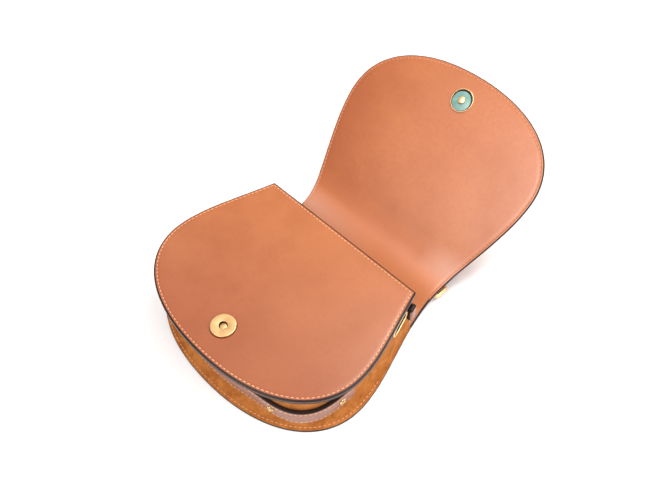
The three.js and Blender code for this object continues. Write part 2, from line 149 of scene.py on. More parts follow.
def ramp(tree, value, low, high, out_low=0.0, out_high=1.0):
    """A value moved from one range to another and held inside it."""
    made = tree.nodes.new("ShaderNodeMapRange")
    tree.links.new(value, made.inputs[0])
    for index, number in enumerate((low, high, out_low, out_high), start=1):
        made.inputs[index].default_value = number
    return made.outputs[0]


def effect_group(name, sockets):
    """An empty shader node group with named sockets, its two end nodes and object coordinates."""
    tree = bpy.data.node_groups.new(name, "ShaderNodeTree")
    for way, kind, label in sockets:
        tree.interface.new_socket(label, in_out=way, socket_type=kind)
    start = tree.nodes.new("NodeGroupInput")
    end = tree.nodes.new("NodeGroupOutput")
    place = tree.nodes.new("ShaderNodeTexCoord").outputs["Object"]
    return tree, start, end, place


def place_group(tree, group, **values):
    """An effect group set into a material with its own values."""
    made = tree.nodes.new("ShaderNodeGroup")
    made.node_tree = group
    for key, value in values.items():
        made.inputs[key.replace("_", " ")].default_value = value
    return made


def new_material(name):
    """A node material and its Principled shader."""
    material = bpy.data.materials.new(name)
    material.use_nodes = True
    return material, material.node_tree, material.node_tree.nodes["Principled BSDF"]


def bump_into(tree, shader, height, strength, depth):
    """Height to a bump to the shader's normal."""
    made = node(tree, "ShaderNodeBump", Strength=strength, Distance=depth * MM, Height=height)
    tree.links.new(made.outputs["Normal"], shader.inputs["Normal"])


def make_hide_tone():
    """Clouded dye: slow dark and light drifts with small freckles, as aniline leather takes colour."""
    tree, start, end, place = effect_group("hide_tone", [
        ("INPUT", "NodeSocketColor", "Base"), ("INPUT", "NodeSocketColor", "Dark"),
        ("INPUT", "NodeSocketColor", "Light"), ("OUTPUT", "NodeSocketColor", "Color"),
        ("OUTPUT", "NodeSocketFloat", "Worn"),
    ])
    cloud = noise(tree, place, Scale=28.0, Detail=5.0, Roughness=0.64)
    drift = noise(tree, place, Scale=9.0, Detail=2.0, Roughness=0.5)
    freckle = noise(tree, place, Scale=420.0, Detail=3.0)
    tone = start.outputs["Base"]
    tone = mix(tree, ramp(tree, cloud, 0.40, 0.72, 0.0, 0.75), tone, start.outputs["Dark"])
    tone = mix(tree, ramp(tree, drift, 0.45, 0.75, 0.0, 0.6), tone, start.outputs["Light"])
    tone = mix(tree, ramp(tree, freckle, 0.40, 0.75, 0.0, 0.24), tone, start.outputs["Dark"])
    tree.links.new(tone, end.inputs["Color"])
    tree.links.new(ramp(tree, cloud, 0.3, 0.7), end.inputs["Worn"])
    return tree


def make_hide_grain():
    """Fine closed calf grain: small pebbles with pores between, softened by a finer noise."""
    tree, start, end, place = effect_group("hide_grain", [
        ("INPUT", "NodeSocketFloat", "Scale"), ("OUTPUT", "NodeSocketFloat", "Height"),
    ])
    size = start.outputs["Scale"]
    pebble = node(tree, "ShaderNodeTexVoronoi", Vector=place, Scale=size).outputs[0]
    fine = noise(tree, place, Scale=size, Detail=6.0, Roughness=0.7)
    pebble_share = 0.55
    total = tree.nodes.new("ShaderNodeMath")
    total.operation = "MULTIPLY_ADD"
    tree.links.new(pebble, total.inputs[0])
    total.inputs[1].default_value = pebble_share
    tree.links.new(fine, total.inputs[2])
    tree.links.new(total.outputs[0], end.inputs["Height"])
    return tree


hide_tone = make_hide_tone()
hide_grain = make_hide_grain()


def coated(name, group, mask, rough, **tones):
    """A material with its colour from an effect group and its roughness from one of the group's masks."""
    material, tree, shader = new_material(name)
    tone = place_group(tree, group, **tones)
    tree.links.new(tone.outputs["Color"], shader.inputs["Base Color"])
    tree.links.new(ramp(tree, tone.outputs[mask], 0.0, 1.0, *rough), shader.inputs["Roughness"])
    return material, tree, shader


def calf_material(name, base, dark, light, rough):
    """Smooth finished leather in a given set of dye tones."""
    material, tree, shader = coated(name, hide_tone, "Worn", rough, Base=base, Dark=dark, Light=light)
    grain = place_group(tree, hide_grain, Scale=CALF_PEBBLES)
    shader.inputs["Specular IOR Level"].default_value = 0.5
    bump_into(tree, shader, grain.outputs["Height"], *CALF_BUMP)
    return material


def toward(tree, direction, low, high, out_low=0.0, out_high=1.0):
    """A share that changes along a direction over the bag, between two distances in millimetres."""
    along = tree.nodes.new("ShaderNodeVectorMath")
    along.operation = "DOT_PRODUCT"
    tree.links.new(tree.nodes.new("ShaderNodeTexCoord").outputs["Object"], along.inputs[0])
    along.inputs[1].default_value = direction
    return ramp(tree, along.outputs["Value"], low * MM, high * MM, out_low, out_high)


def paint_shading_over(material, share, colour, blend):
    """Painted light and shade over a leather's tone: painted shade where it multiplies, painted light and
    sheen where it mixes.
    """
    tree = material.node_tree
    shader = tree.nodes["Principled BSDF"]
    tone = shader.inputs["Base Color"].links[0].from_socket
    tree.links.new(mix(tree, share, tone, colour, blend), shader.inputs["Base Color"])


def both(tree, first, second):
    """Two shares multiplied."""
    made = tree.nodes.new("ShaderNodeMath")
    made.operation = "MULTIPLY"
    tree.links.new(first, made.inputs[0])
    tree.links.new(second, made.inputs[1])
    return made.outputs[0]


def hide_material():
    """The hide's calf, with painted shade darkening its left side, painted light paling it where it is bent
    along the spine, and a painted sheen at each end of the bend."""
    material = calf_material("hide_calf", CALF_TAN, CALF_DARK, CALF_LIGHT, CALF_ROUGH)
    tree = material.node_tree
    # Painted shade: the hide is multiplied darker towards its left.
    paint_shading_over(material, toward(tree, FROM_LEFT, *LEFT_SHADE_RANGE, 1.0, 0.0), LEFT_PAINTED_SHADE, "MULTIPLY")
    # Painted light: the bent spine is mixed paler to offset the shade it lies in.
    lit_bend = both(tree, toward(tree, ALONG, *BEND_NEAR), toward(tree, ALONG, *BEND_FAR, 1.0, 0.0))
    paint_shading_over(material, lit_bend, BEND_PAINTED_LIGHT, "MIX")
    # Painted sheen: a pale pinkish colour mixed in at each end of the bend.
    for near, far, sideways, shares in (LEFT_SHEEN_SPOT, RIGHT_SHEEN_SPOT):
        band = both(tree, toward(tree, ALONG, *near), toward(tree, ALONG, *far, 1.0, 0.0))
        sheen_share = both(tree, band, toward(tree, ACROSS, *sideways, *shares))
        paint_shading_over(material, sheen_share, PAINTED_SHEEN, "MIX")
    return material


def paint_material():
    """Dark resin edge paint, slightly uneven where the brush passed."""
    material, _, shader = coated("edge_paint", hide_tone, "Worn", EDGE_PAINT_ROUGH, Base=EDGE_PAINT,
                                 Dark=EDGE_PAINT_DARK, Light=EDGE_PAINT_LIGHT)
    shader.inputs["Specular IOR Level"].default_value = 0.2
    return material


def thread_material(name, base, dark, light):
    """Waxed polyester thread, two plies twisted."""
    material, tree, shader = coated(name, hide_tone, "Worn", THREAD_ROUGH, Base=base, Dark=dark, Light=light)
    grain = place_group(tree, hide_grain, Scale=THREAD_PLIES)
    bump_into(tree, shader, grain.outputs["Height"], *THREAD_BUMP)
    return material


needle_hole_shade = calf_material("needle_hole_shade", HOLE_SHADE, HOLE_SHADE, CALF_DARK, HOLE_ROUGH)
calf = calf_material("calf_tan", CALF_TAN, CALF_DARK, CALF_LIGHT, CALF_ROUGH)
hide_calf = hide_material()
edge_paint = paint_material()
thread = thread_material("waxed_thread", THREAD, THREAD_DARK, THREAD_LIGHT)
under_thread = thread_material("bobbin_thread", UNDER_THREAD, UNDER_THREAD_DARK, UNDER_THREAD_LIGHT)


def bezier(p0, p1, p2, p3, count):
    """Points along one cubic curve."""
    t = np.linspace(0.0, 1.0, count)[:, None]
    p0, p1, p2, p3 = (np.array(p, float) for p in (p0, p1, p2, p3))
    return (1 - t) ** 3 * p0 + 3 * (1 - t) ** 2 * t * p1 + 3 * (1 - t) * t * t * p2 + t ** 3 * p3


def saddle_edge(root, belly, length):
    """Right half of the saddle outline, (across, along), from the straight edge round to the far end."""
    pull = SIDE_PULL * BELLY_AT
    side = bezier((root, 0), (root + SIDE_LEAN * pull, pull), (belly, SIDE_END * BELLY_AT),
                  (belly, BELLY_AT), SIDE_POINTS)
    round_end = bezier((belly, BELLY_AT), (belly, BELLY_AT + ROUND_PULL * (length - BELLY_AT)),
                       (ROUND_END * belly, length), (0, length), ROUND_POINTS)
    return np.vstack([side, round_end[1:]])


def even(points, count):
    """The same line with evenly spaced points."""
    points = np.asarray(points, float)
    run = np.r_[0.0, np.cumsum(np.linalg.norm(np.diff(points, axis=0), axis=1))]
    at = np.linspace(0.0, run[-1], count)
    return np.column_stack([np.interp(at, run, points[:, k]) for k in range(points.shape[1])])


def left_normals(points):
    """Unit normals to the left of a line in a plane."""
    tangent = np.gradient(points, axis=0)
    tangent /= np.linalg.norm(tangent, axis=1)[:, None]
    return np.column_stack([-tangent[:, 1], tangent[:, 0]])


def mesh_piece(name, vertices, faces, materials, indices=None, smooth=True):
    """A mesh object from vertices in metres, with a material for each face."""
    mesh = bpy.data.meshes.new(name)
    mesh.from_pydata([tuple(v) for v in vertices], [], faces)
    for material in materials:
        mesh.materials.append(material)
    mesh.polygons.foreach_set("use_smooth", [smooth] * len(mesh.polygons))
    if indices is not None:
        mesh.polygons.foreach_set("material_index", indices)
    mesh.update()
    piece = bpy.data.objects.new(name, mesh)
    bpy.context.scene.collection.objects.link(piece)
    return piece


def clean_mesh(piece):
    """Welds points that meet at a seam and turns all faces outward."""
    work = bmesh.new()
    work.from_mesh(piece.data)
    bmesh.ops.remove_doubles(work, verts=work.verts, dist=WELD * MM)
    bmesh.ops.dissolve_degenerate(work, edges=work.edges, dist=SHORTEST_EDGE * MM)
    bmesh.ops.recalc_face_normals(work, faces=work.faces)
    work.to_mesh(piece.data)
    work.free()


def keep_corners_sharp(piece, degrees):
    """Hard edges stay hard under smooth shading."""
    piece.data.set_sharp_from_angle(angle=math.radians(degrees))


# Distance in from the cut edge and depth from each face: the rim is rolled over the edge and pulled down
# along the stitch line.
RIM = [(5.0, 0.0), (3.6, 0.02), (3.0, 0.11), (2.5, 0.22), (2.05, 0.14), (1.25, 0.02), (0.72, 0.09),
       (0.36, 0.28), (0.06, 0.75)]
# The step of the rim from which the edge is painted.
PAINT_FROM = 5
FLAP_PAINT_FROM = 6
RIM_CREASE = 55
LEAF_COLUMNS = 30
LEAF_ROWS = 76
SPINE_ROWS = 12


def rim_section(thick):
    """The rim's section, (distance in, height), from the upper face round the edge to the lower face."""
    upper = [(inset, thick - drop) for inset, drop in RIM]
    lower = [(inset, drop) for inset, drop in reversed(RIM)]
    return upper + lower


def leaf(name, boundary, place, thick_at, paint_from):
    """A closed sheet between a straight start row and a round end, mirrored about the middle."""
    inward = left_normals(boundary)
    inward[0] = (-1.0, 0.0)
    inward[-1] = (0.0, -1.0)
    count, columns = len(boundary), LEAF_COLUMNS
    around = len(RIM) * 2
    vertices = []
    for side in (1, -1):
        for k in range(count):
            for inset, height in rim_section(thick_at(boundary[k, 1])):
                x, along = boundary[k] + inward[k] * inset
                vertices.append(place(side * max(x, 0.0), along, height))
    grid = {}
    for level, ring in ((0, 0), (1, around - 1)):
        for k in range(count):
            x, along = boundary[k] + inward[k] * RIM[0][0]
            height = rim_section(thick_at(boundary[k, 1]))[ring][1]
            for c in range(1, columns):
                grid[level, k, c] = len(vertices)
                vertices.append(place(max(x, 0.0) * (1 - 2 * c / columns), along, height))
            grid[level, k, 0] = k * around + ring
            grid[level, k, columns] = (count + k) * around + ring
    faces, paint = [], []
    for side in (0, 1):
        for k in range(count - 1):
            for j in range(around - 1):
                a = (side * count + k) * around + j
                quad = (a, a + around, a + around + 1, a + 1)
                faces.append(quad if side == 0 else quad[::-1])
                paint.append(1 if paint_from <= j < around - 1 - paint_from else 0)
    for level in (0, 1):
        for k in range(count - 1):
            for c in range(columns):
                quad = (grid[level, k, c], grid[level, k, c + 1],
                        grid[level, k + 1, c + 1], grid[level, k + 1, c])
                faces.append(quad if level == 0 else quad[::-1])
                paint.append(0)
    start = [j for j in range(around)]
    start += [grid[1, 0, c] for c in range(1, columns)]
    start += [count * around + j for j in reversed(range(around))]
    start += [grid[0, 0, c] for c in range(columns - 1, 0, -1)]
    faces.append(tuple(start))
    paint.append(0)
    piece = mesh_piece(name, vertices, faces, [hide_calf, edge_paint], paint)
    clean_mesh(piece)
    return piece


def on_hide(x, s, height):
    """A point of the hide in metres: s runs from back fold to flap, height in from the outer face."""
    if s <= 0:
        return Vector((x, FOLD_Y + s, height)) * MM
    if s <= SPINE_LENGTH:
        angle = s / SPINE_RADIUS
        radius = SPINE_RADIUS - height
        y, z = FOLD_Y + radius * math.sin(angle), SPINE_RADIUS - radius * math.cos(angle)
        return Vector((x, y, z)) * MM
    over = s - SPINE_LENGTH
    sine, cosine = math.sin(OPEN_TILT), math.cos(OPEN_TILT)
    y = FOLD_Y + SPINE_RADIUS * sine + over * cosine - height * sine
    z = SPINE_RADIUS - SPINE_RADIUS * cosine + over * sine + height * cosine
    return Vector((x, y, z)) * MM


def hide_thick(s):
    """Full thickness of the two glued skins along the hide."""
    share = min(max(s / SPINE_LENGTH, 0.0), 1.0)
    return BACK_THICK + (FLAP_THICK - BACK_THICK) * share


def spine_half(s):
    """Half width of the spine, narrowed to a waist."""
    t = s / SPINE_LENGTH
    return MOUTH_HALF + (FLAP_ROOT_HALF - MOUTH_HALF) * t - SPINE_WAIST * math.sin(math.pi * t)


JOIN = SPINE_LENGTH / 2
spine_near = [(spine_half(JOIN - a), a) for a in np.linspace(0, JOIN, SPINE_ROWS)]
spine_far = [(spine_half(JOIN + a), a) for a in np.linspace(0, JOIN, SPINE_ROWS)]
back_edge = saddle_edge(MOUTH_HALF, BELLY_HALF, PANEL_LENGTH) + (0, JOIN + FOLD_Y)
flap_edge = saddle_edge(FLAP_ROOT_HALF, FLAP_BELLY_HALF, FLAP_LENGTH) + (0, JOIN)
back_boundary = even(np.vstack([spine_near, back_edge]), LEAF_ROWS)
flap_boundary = even(np.vstack([spine_far[:-1], flap_edge]), LEAF_ROWS)


def place_back(x, along, height):
    """A point of the back sheet, at a distance along it from the join."""
    return on_hide(x, JOIN - along, height)


def place_flap(x, along, height):
    """A point of the flap sheet, at a distance along it from the join."""
    return on_hide(x, JOIN + along, height)


def back_thick(along):
    """Thickness of the back sheet at a distance from the join."""
    return hide_thick(JOIN - along)


def flap_thick(along):
    """Thickness of the flap sheet at a distance from the join."""
    return hide_thick(JOIN + along)


back_leather = leaf("back_leather", back_boundary, place_back, back_thick, PAINT_FROM)
flap_leather = leaf("flap_leather", flap_boundary, place_flap, flap_thick, FLAP_PAINT_FROM)
for sheet_piece in (back_leather, flap_leather):
    keep_corners_sharp(sheet_piece, RIM_CREASE)
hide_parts("back_panel", "back_lining", "spine", "spine_lining")
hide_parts("flap", "flap_lining")
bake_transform(back_leather)
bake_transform(flap_leather)

# Rim stitching of the hide: a lock stitch just inside the painted edge, pulled a little into both faces.
# The thread is pale on the outside, and the bobbin thread on the inside is nearer the tan of the hide.
STITCH_PITCH = 3.3
STITCH_LENGTH = 2.5
STITCH_WIDTH = 0.5
STITCH_INSET = 2.5
STITCH_SINK = 0.22
# Each stitch as rings along it: place by its length, width and rise by the thread's width.
STITCH_RINGS = [(-0.5, 0.45, -0.5), (-0.4, 0.85, -0.05), (-0.15, 1.0, 0.32), (0.15, 1.0, 0.32),
                (0.4, 0.85, -0.05), (0.5, 0.45, -0.5)]
STITCH_SIDES = 6
STITCH_FLAT = 0.8
STITCH_RISE = 0.6
STITCH_STEP = 0.05


def stitches(name, line, normals, yarn=thread):
    """One piece of thread for each pitch along a line of points in metres, with painted shade at the needle
    holes: the end rings and caps of each stitch are dark.
    """
    line = np.asarray(line, float)
    normals = np.asarray(normals, float)
    run = np.r_[0.0, np.cumsum(np.linalg.norm(np.diff(line, axis=0), axis=1))]
    total = max(int(run[-1] / (STITCH_PITCH * MM)), 1)
    vertices, faces, indices = [], [], []

    def at(distance):
        point = np.array([np.interp(distance, run, line[:, k]) for k in range(3)])
        normal = np.array([np.interp(distance, run, normals[:, k]) for k in range(3)])
        return point, normal / np.linalg.norm(normal)

    sides = STITCH_SIDES
    last = len(STITCH_RINGS) - 1
    for i in range(total):
        middle = (i + 0.5) * run[-1] / total
        base = len(vertices)
        for offset, width, rise in STITCH_RINGS:
            point, normal = at(middle + offset * STITCH_LENGTH * MM)
            ahead, _ = at(middle + (offset + STITCH_STEP) * STITCH_LENGTH * MM)
            behind, _ = at(middle + (offset - STITCH_STEP) * STITCH_LENGTH * MM)
            across = np.cross(ahead - behind, normal)
            across /= np.linalg.norm(across)
            half = STITCH_WIDTH * MM / 2 * width
            for corner in range(sides):
                turn = math.tau * corner / sides
                lift = half * STITCH_FLAT * math.sin(turn) + rise * STITCH_WIDTH * MM * STITCH_RISE
                vertices.append(point + across * half * math.cos(turn) + normal * lift)
        for ring in range(last):
            for corner in range(sides):
                a = base + ring * sides + corner
                b = base + ring * sides + (corner + 1) % sides
                faces.append((a, b, b + sides, a + sides))
                # The end rings are painted shade at the needle holes.
                indices.append(1 if ring in (0, last - 1) else 0)
        faces.append(tuple(base + corner for corner in reversed(range(sides))))
        faces.append(tuple(base + last * sides + corner for corner in range(sides)))
        indices += [1, 1]
    piece = mesh_piece(name, vertices, faces, [yarn, needle_hole_shade], indices)
    clean_mesh(piece)
    return piece


def rim_line(boundary, place, thick_at, outer):
    """Points and normals of the stitch line on one face of the hide, from one end of the join round to the
    other."""
    inward = left_normals(boundary)
    inward[-1] = (0.0, -1.0)
    half = boundary + inward * STITCH_INSET
    points, normals = [], []
    for side, order in ((1, range(len(half))), (-1, range(len(half) - 2, -1, -1))):
        for k in order:
            x, along = half[k]
            thick = thick_at(boundary[k, 1])
            low, high = place(side * x, along, 0.0), place(side * x, along, thick)
            normal = (low - high if outer else high - low).normalized()
            points.append((low if outer else high) - normal * (STITCH_SINK * MM))
            normals.append(normal)
    return points, normals


for face, outer, yarn in (("inner", False, under_thread), ("outer", True, thread)):
    back_line = rim_line(back_boundary, place_back, back_thick, outer)
    back_row = stitches(f"back_thread_{face}", *back_line, yarn)
    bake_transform(back_row)
    flap_line = rim_line(flap_boundary, place_flap, flap_thick, outer)
    flap_row = stitches(f"flap_thread_{face}", *flap_line, yarn)
    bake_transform(flap_row)

# Front panel: calf a little darker than the hide's, and multiplied darker away from its left mouth corner,
# with its lining; both are painted shade, with that corner standing lit. A flat saddle-shaped board with a
# straight mouth, painted and stitched all round.
BAG_DEPTH = 47.0
PANEL_BULGE = 0.8
BULGE_AT = -70.0
BULGE_REACH = 75.0
FRONT_MIDDLE = -72.0
FRONT_SIDE_POINTS = 64
FRONT_MOUTH_POINTS = 18
# Rings of the board's two faces between its rim and its middle.
FRONT_RINGS = (0.85, 0.7, 0.55, 0.4, 0.25, 0.12)
# Painted shade: the front's calf is a little darker than the hide's, against the stronger light on the front
# than on the spine.
FRONT_SHADED_TAN = (0.402, 0.119, 0.0345, 1.0)
FRONT_DARK = (0.318, 0.0835, 0.0185, 1.0)
FRONT_LIGHT = (0.456, 0.164, 0.052, 1.0)
FRONT_PAINTED_SHADE = (0.745, 0.665, 0.80, 1.0)
TO_LEFT_CORNER = (-0.35, 1.0, 0.0)
FRONT_SHADE_RANGE = (-115.0, 5.0)
front_calf = calf_material("calf_shaded_tan", FRONT_SHADED_TAN, FRONT_DARK, FRONT_LIGHT, CALF_ROUGH)
# Painted shade: the front is multiplied darker away from its left mouth corner, which is left lit.
shaded_share = toward(front_calf.node_tree, TO_LEFT_CORNER, *FRONT_SHADE_RANGE, 1.0, 0.0)
paint_shading_over(front_calf, shaded_share, FRONT_PAINTED_SHADE, "MULTIPLY")


def corner_normals(loop):
    """Inward offsets for a closed anticlockwise loop, lengthened at its corners."""
    before = loop - np.roll(loop, 1, axis=0)
    after = np.roll(loop, -1, axis=0) - loop
    before /= np.linalg.norm(before, axis=1)[:, None]
    after /= np.linalg.norm(after, axis=1)[:, None]
    along = before + after
    along /= np.linalg.norm(along, axis=1)[:, None]
    normal = np.column_stack([-along[:, 1], along[:, 0]])
    side = np.column_stack([-after[:, 1], after[:, 0]])
    return normal / np.sum(normal * side, axis=1)[:, None]


def front_loop():
    """The whole edge of the front panel, anticlockwise from above, from beside the right mouth corner.
    Two points next to each corner are left out, so that the rim's offsets don't cross there."""
    right = even(saddle_edge(MOUTH_HALF, BELLY_HALF, PANEL_LENGTH), FRONT_SIDE_POINTS) * (1, -1)
    right = np.delete(right, (1, 2), axis=0)
    left = right[-2::-1] * (-1, 1)
    across = np.linspace(-MOUTH_HALF, MOUTH_HALF, FRONT_MOUTH_POINTS)[1:-1]
    mouth = np.column_stack([across, np.zeros(len(across))])
    return np.vstack([right, left, mouth])[::-1]


def front_bulge(x, y):
    """Slight swell of the board away from its rim."""
    across = max(0.0, 1 - (x / BELLY_HALF) ** 2)
    along = max(0.0, 1 - ((y - BULGE_AT) / BULGE_REACH) ** 2)
    return PANEL_BULGE * across * along


def make_front():
    """The board as rings of points from the middle of its outer face round the rim to its inner face."""
    loop = front_loop()
    inward = corner_normals(loop)
    count = len(loop)
    centre = np.array([0.0, FRONT_MIDDLE])
    rings = []
    for inset, height in rim_section(BACK_THICK):
        rings.append([(*(loop[k] + inward[k] * inset), height) for k in range(count)])
    rim = loop + inward * RIM[0][0]
    top = [[(*(centre + (p - centre) * share), BACK_THICK) for p in rim] for share in FRONT_RINGS]
    under = [[(*(centre + (p - centre) * share), 0.0) for p in rim] for share in FRONT_RINGS]
    rows = top[::-1] + rings + under
    vertices = [(*centre, BACK_THICK)]
    for row in rows:
        vertices += row
    vertices.append((*centre, 0.0))
    placed = []
    for x, y, height in vertices:
        placed.append(Vector((x, y, BAG_DEPTH - BACK_THICK + height + front_bulge(x, y))) * MM)
    faces, paint = [], []
    for r in range(len(rows) - 1):
        for k in range(count):
            a, b = 1 + r * count + k, 1 + r * count + (k + 1) % count
            faces.append((a, a + count, b + count, b))
            edge = r - len(FRONT_RINGS)
            paint.append(1 if PAINT_FROM <= edge < len(rings) - 1 - PAINT_FROM else 0)
    last = 1 + (len(rows) - 1) * count
    for k in range(count):
        faces.append((0, 1 + k, 1 + (k + 1) % count))
        faces.append((len(placed) - 1, last + (k + 1) % count, last + k))
        paint += [0, 0]
    piece = mesh_piece("front_leather", placed, faces, [front_calf, edge_paint], paint)
    clean_mesh(piece)
    return piece


def front_thread_line():
    """Stitch line all round the outer face of the front panel."""
    loop = front_loop()
    line = loop + corner_normals(loop) * STITCH_INSET
    line = np.vstack([line, line[:1]])
    points = [Vector((x, y, BAG_DEPTH - STITCH_SINK + front_bulge(x, y))) * MM for x, y in line]
    return points, [(0.0, 0.0, 1.0)] * len(points)


front_leather = make_front()
keep_corners_sharp(front_leather, RIM_CREASE)
front_thread = stitches("front_thread", *front_thread_line())
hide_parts("front_panel", "front_lining")
for board in (front_leather, front_thread):
    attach(board, "bag")

# Gusset: one long strip of tan suede, folded into a channel round the three closed sides and sewn
# between the two panels. The fold opens flat towards the mouth.
GUSSET_THICK = 1.4
EDGE_INSET = 0.2
WALL_AT_MOUTH = 2.6
WALL_DEEP = 10.5
WALL_HALF = 9.0
CHANNEL_START = 26.0
CHANNEL_FULL = 75.0
GUSSET_FROM_MOUTH = 2.0
CORNER_BOW = 6.0
CORNER_BOW_AT = 0.39
CORNER_BOW_HALF = 0.21
MID_HEIGHT = BAG_DEPTH / 2
CHANNEL_MID = MID_HEIGHT - 3.0
KNEE_SHARE = 0.55
BEND_RADIUS = 4.0
BEND_POINTS = 5
GUSSET_ROWS = 151
FLANGE_STITCH = 1.8
FLANGE_STITCH_END = 0.74
FLANGE_STITCH_POINTS = 170
KNEE_CLEAR = 0.4
FOLD_PAINT = 60.0
EDGE_POINTS = 200
NEAR_MIDDLE = 1e-9
STRIP_CREASE = 60
SUEDE = (0.47, 0.168, 0.040, 1.0)
SUEDE_DARK = (0.32, 0.095, 0.018, 1.0)
SUEDE_LIGHT = (0.62, 0.262, 0.080, 1.0)
SUEDE_BUMP = (0.5, 0.5)
panel_edge = even(saddle_edge(MOUTH_HALF, BELLY_HALF, PANEL_LENGTH), EDGE_POINTS)
EDGE_LENGTH = float(np.sum(np.linalg.norm(np.diff(panel_edge, axis=0), axis=1)))


def make_suede_nap():
    """Brushed nap: blotches where the fibres lie either way, with a fine fuzz on top."""
    tree, start, end, place = effect_group("suede_nap", [
        ("INPUT", "NodeSocketColor", "Base"), ("INPUT", "NodeSocketColor", "Dark"),
        ("INPUT", "NodeSocketColor", "Light"), ("OUTPUT", "NodeSocketColor", "Color"),
        ("OUTPUT", "NodeSocketFloat", "Height"),
    ])
    blotch = noise(tree, place, Scale=120.0, Detail=6.0, Roughness=0.7, Distortion=0.6)
    fuzz = noise(tree, place, Scale=2200.0, Detail=4.0, Roughness=0.75)
    tone = mix(tree, ramp(tree, blotch, 0.42, 0.62), start.outputs["Base"], start.outputs["Dark"])
    tone = mix(tree, ramp(tree, fuzz, 0.5, 0.75, 0.0, 0.5), tone, start.outputs["Light"])
    tree.links.new(tone, end.inputs["Color"])
    tree.links.new(fuzz, end.inputs["Height"])
    return tree


suede_nap = make_suede_nap()


def suede_material(name, base, dark, light):
    """Brushed leather without gloss."""
    material, tree, shader = new_material(name)
    nap = place_group(tree, suede_nap, Base=base, Dark=dark, Light=light)
    tree.links.new(nap.outputs["Color"], shader.inputs["Base Color"])
    shader.inputs["Roughness"].default_value = 0.95
    shader.inputs["Specular IOR Level"].default_value = 0.08
    bump_into(tree, shader, nap.outputs["Height"], *SUEDE_BUMP)
    return material


suede = suede_material("gusset_suede", SUEDE, SUEDE_DARK, SUEDE_LIGHT)


def edge_frame(station):
    """Point on the panel edge and the way in. Station -1 is the left mouth corner, +1 the right one."""
    share = (1 - abs(station)) * (len(panel_edge) - 1)
    low = min(int(share), len(panel_edge) - 2)
    p, q = panel_edge[low], panel_edge[low + 1]
    point = p + (q - p) * (share - low)
    before, after = panel_edge[max(low - 1, 0)], panel_edge[min(low + 2, len(panel_edge) - 1)]
    tangent = (after - before) / np.linalg.norm(after - before)
    side = -1.0 if station < 0 else 1.0
    if abs(station) < NEAR_MIDDLE:
        tangent = np.array([-1.0, 0.0])
    return np.array([side * point[0], -point[1]]), np.array([-side * tangent[1], -tangent[0]])


def wall_at(station):
    """How far inside the edge the channel's wall stands. It bows out at each bottom corner."""
    distance = (1 - abs(station)) * EDGE_LENGTH
    t = min(max((distance - CHANNEL_START) / (CHANNEL_FULL - CHANNEL_START), 0.0), 1.0)
    away = min(abs(abs(station) - CORNER_BOW_AT) / CORNER_BOW_HALF, 1.0)
    bow = CORNER_BOW * math.cos(away * math.pi / 2) ** 2
    return WALL_AT_MOUTH + (WALL_DEEP - WALL_AT_MOUTH) * t * t * (3 - 2 * t) - bow


def rounded(points, radius, steps):
    """A line of straight runs with its corners rounded by short curves."""
    points = [np.array(p, float) for p in points]
    out = [points[0]]
    longest = 0.45
    for p, q, r in zip(points, points[1:], points[2:]):
        u, v = p - q, r - q
        cut = min(radius, longest * np.linalg.norm(u), longest * np.linalg.norm(v))
        a, b = q + u / np.linalg.norm(u) * cut, q + v / np.linalg.norm(v) * cut
        for t in np.linspace(0, 1, steps):
            out.append((1 - t) ** 2 * a + 2 * (1 - t) * t * q + t * t * b)
    out.append(points[-1])
    return np.array(out)


def knee_at(station):
    """Distance in at which the flanges start to slope to the wall."""
    return EDGE_INSET + (wall_at(station) - EDGE_INSET) * KNEE_SHARE


def gusset_line(station):
    """Middle line of the folded strip at a station: (distance in, height)."""
    wall, knee = wall_at(station), knee_at(station)
    top = BAG_DEPTH - BACK_THICK - GUSSET_THICK / 2
    bottom = BACK_THICK + GUSSET_THICK / 2
    corners = [(EDGE_INSET, top), (knee, top), (wall, MID_HEIGHT + WALL_HALF),
               (wall, CHANNEL_MID - WALL_HALF), (knee, bottom), (EDGE_INSET, bottom)]
    return rounded(corners, BEND_RADIUS, BEND_POINTS)


def skin(name, rows, materials, index_at=None, closed=False):
    """A piece through rows of points in metres, each row run once round it. The rows are joined into a ring,
    or closed by a cap at each end in the last material."""
    count = len(rows[0])
    faces, indices = [], []
    for i in range(len(rows) if closed else len(rows) - 1):
        here, ahead = i * count, (i + 1) % len(rows) * count
        for j in range(count):
            k = (j + 1) % count
            faces.append((here + j, here + k, ahead + k, ahead + j))
            indices.append(index_at(j, i) if index_at else 0)
    if not closed:
        end = (len(rows) - 1) * count
        faces += [tuple(reversed(range(count))), tuple(range(end, end + count))]
        indices += [len(materials) - 1] * 2
    piece = mesh_piece(name, [point for row in rows for point in row], faces, materials, indices)
    clean_mesh(piece)
    return piece


def sweep_round_edge(name, stations, section_at, materials, index_at):
    """A closed strip swept round the panel edge through a row of stations."""
    rows = []
    for station in stations:
        point, inward = edge_frame(station)
        row = []
        for inset, height in section_at(station):
            x, y = point + inward * inset
            row.append((x * MM, y * MM, height * MM))
        rows.append(row)
    piece = skin(name, rows, materials, lambda j, i: index_at(j, stations[i]))
    keep_corners_sharp(piece, STRIP_CREASE)
    return piece


def gusset_section(station):
    """The strip's section: its middle line with the thickness put on both sides."""
    line = gusset_line(station)
    normal = left_normals(line)
    return np.vstack([line + normal * GUSSET_THICK / 2, (line - normal * GUSSET_THICK / 2)[::-1]])


def gusset_index(j, station):
    """The upper cut edge is painted like the front panel's. Near the mouth the paint runs on the fold."""
    line_points = 2 + 4 * BEND_POINTS
    from_mouth = (1 - abs(station)) * EDGE_LENGTH
    rows = 1 + max(0, round((FOLD_PAINT - from_mouth) / FOLD_PAINT * BEND_POINTS))
    return 1 if j >= 2 * line_points - rows else 0


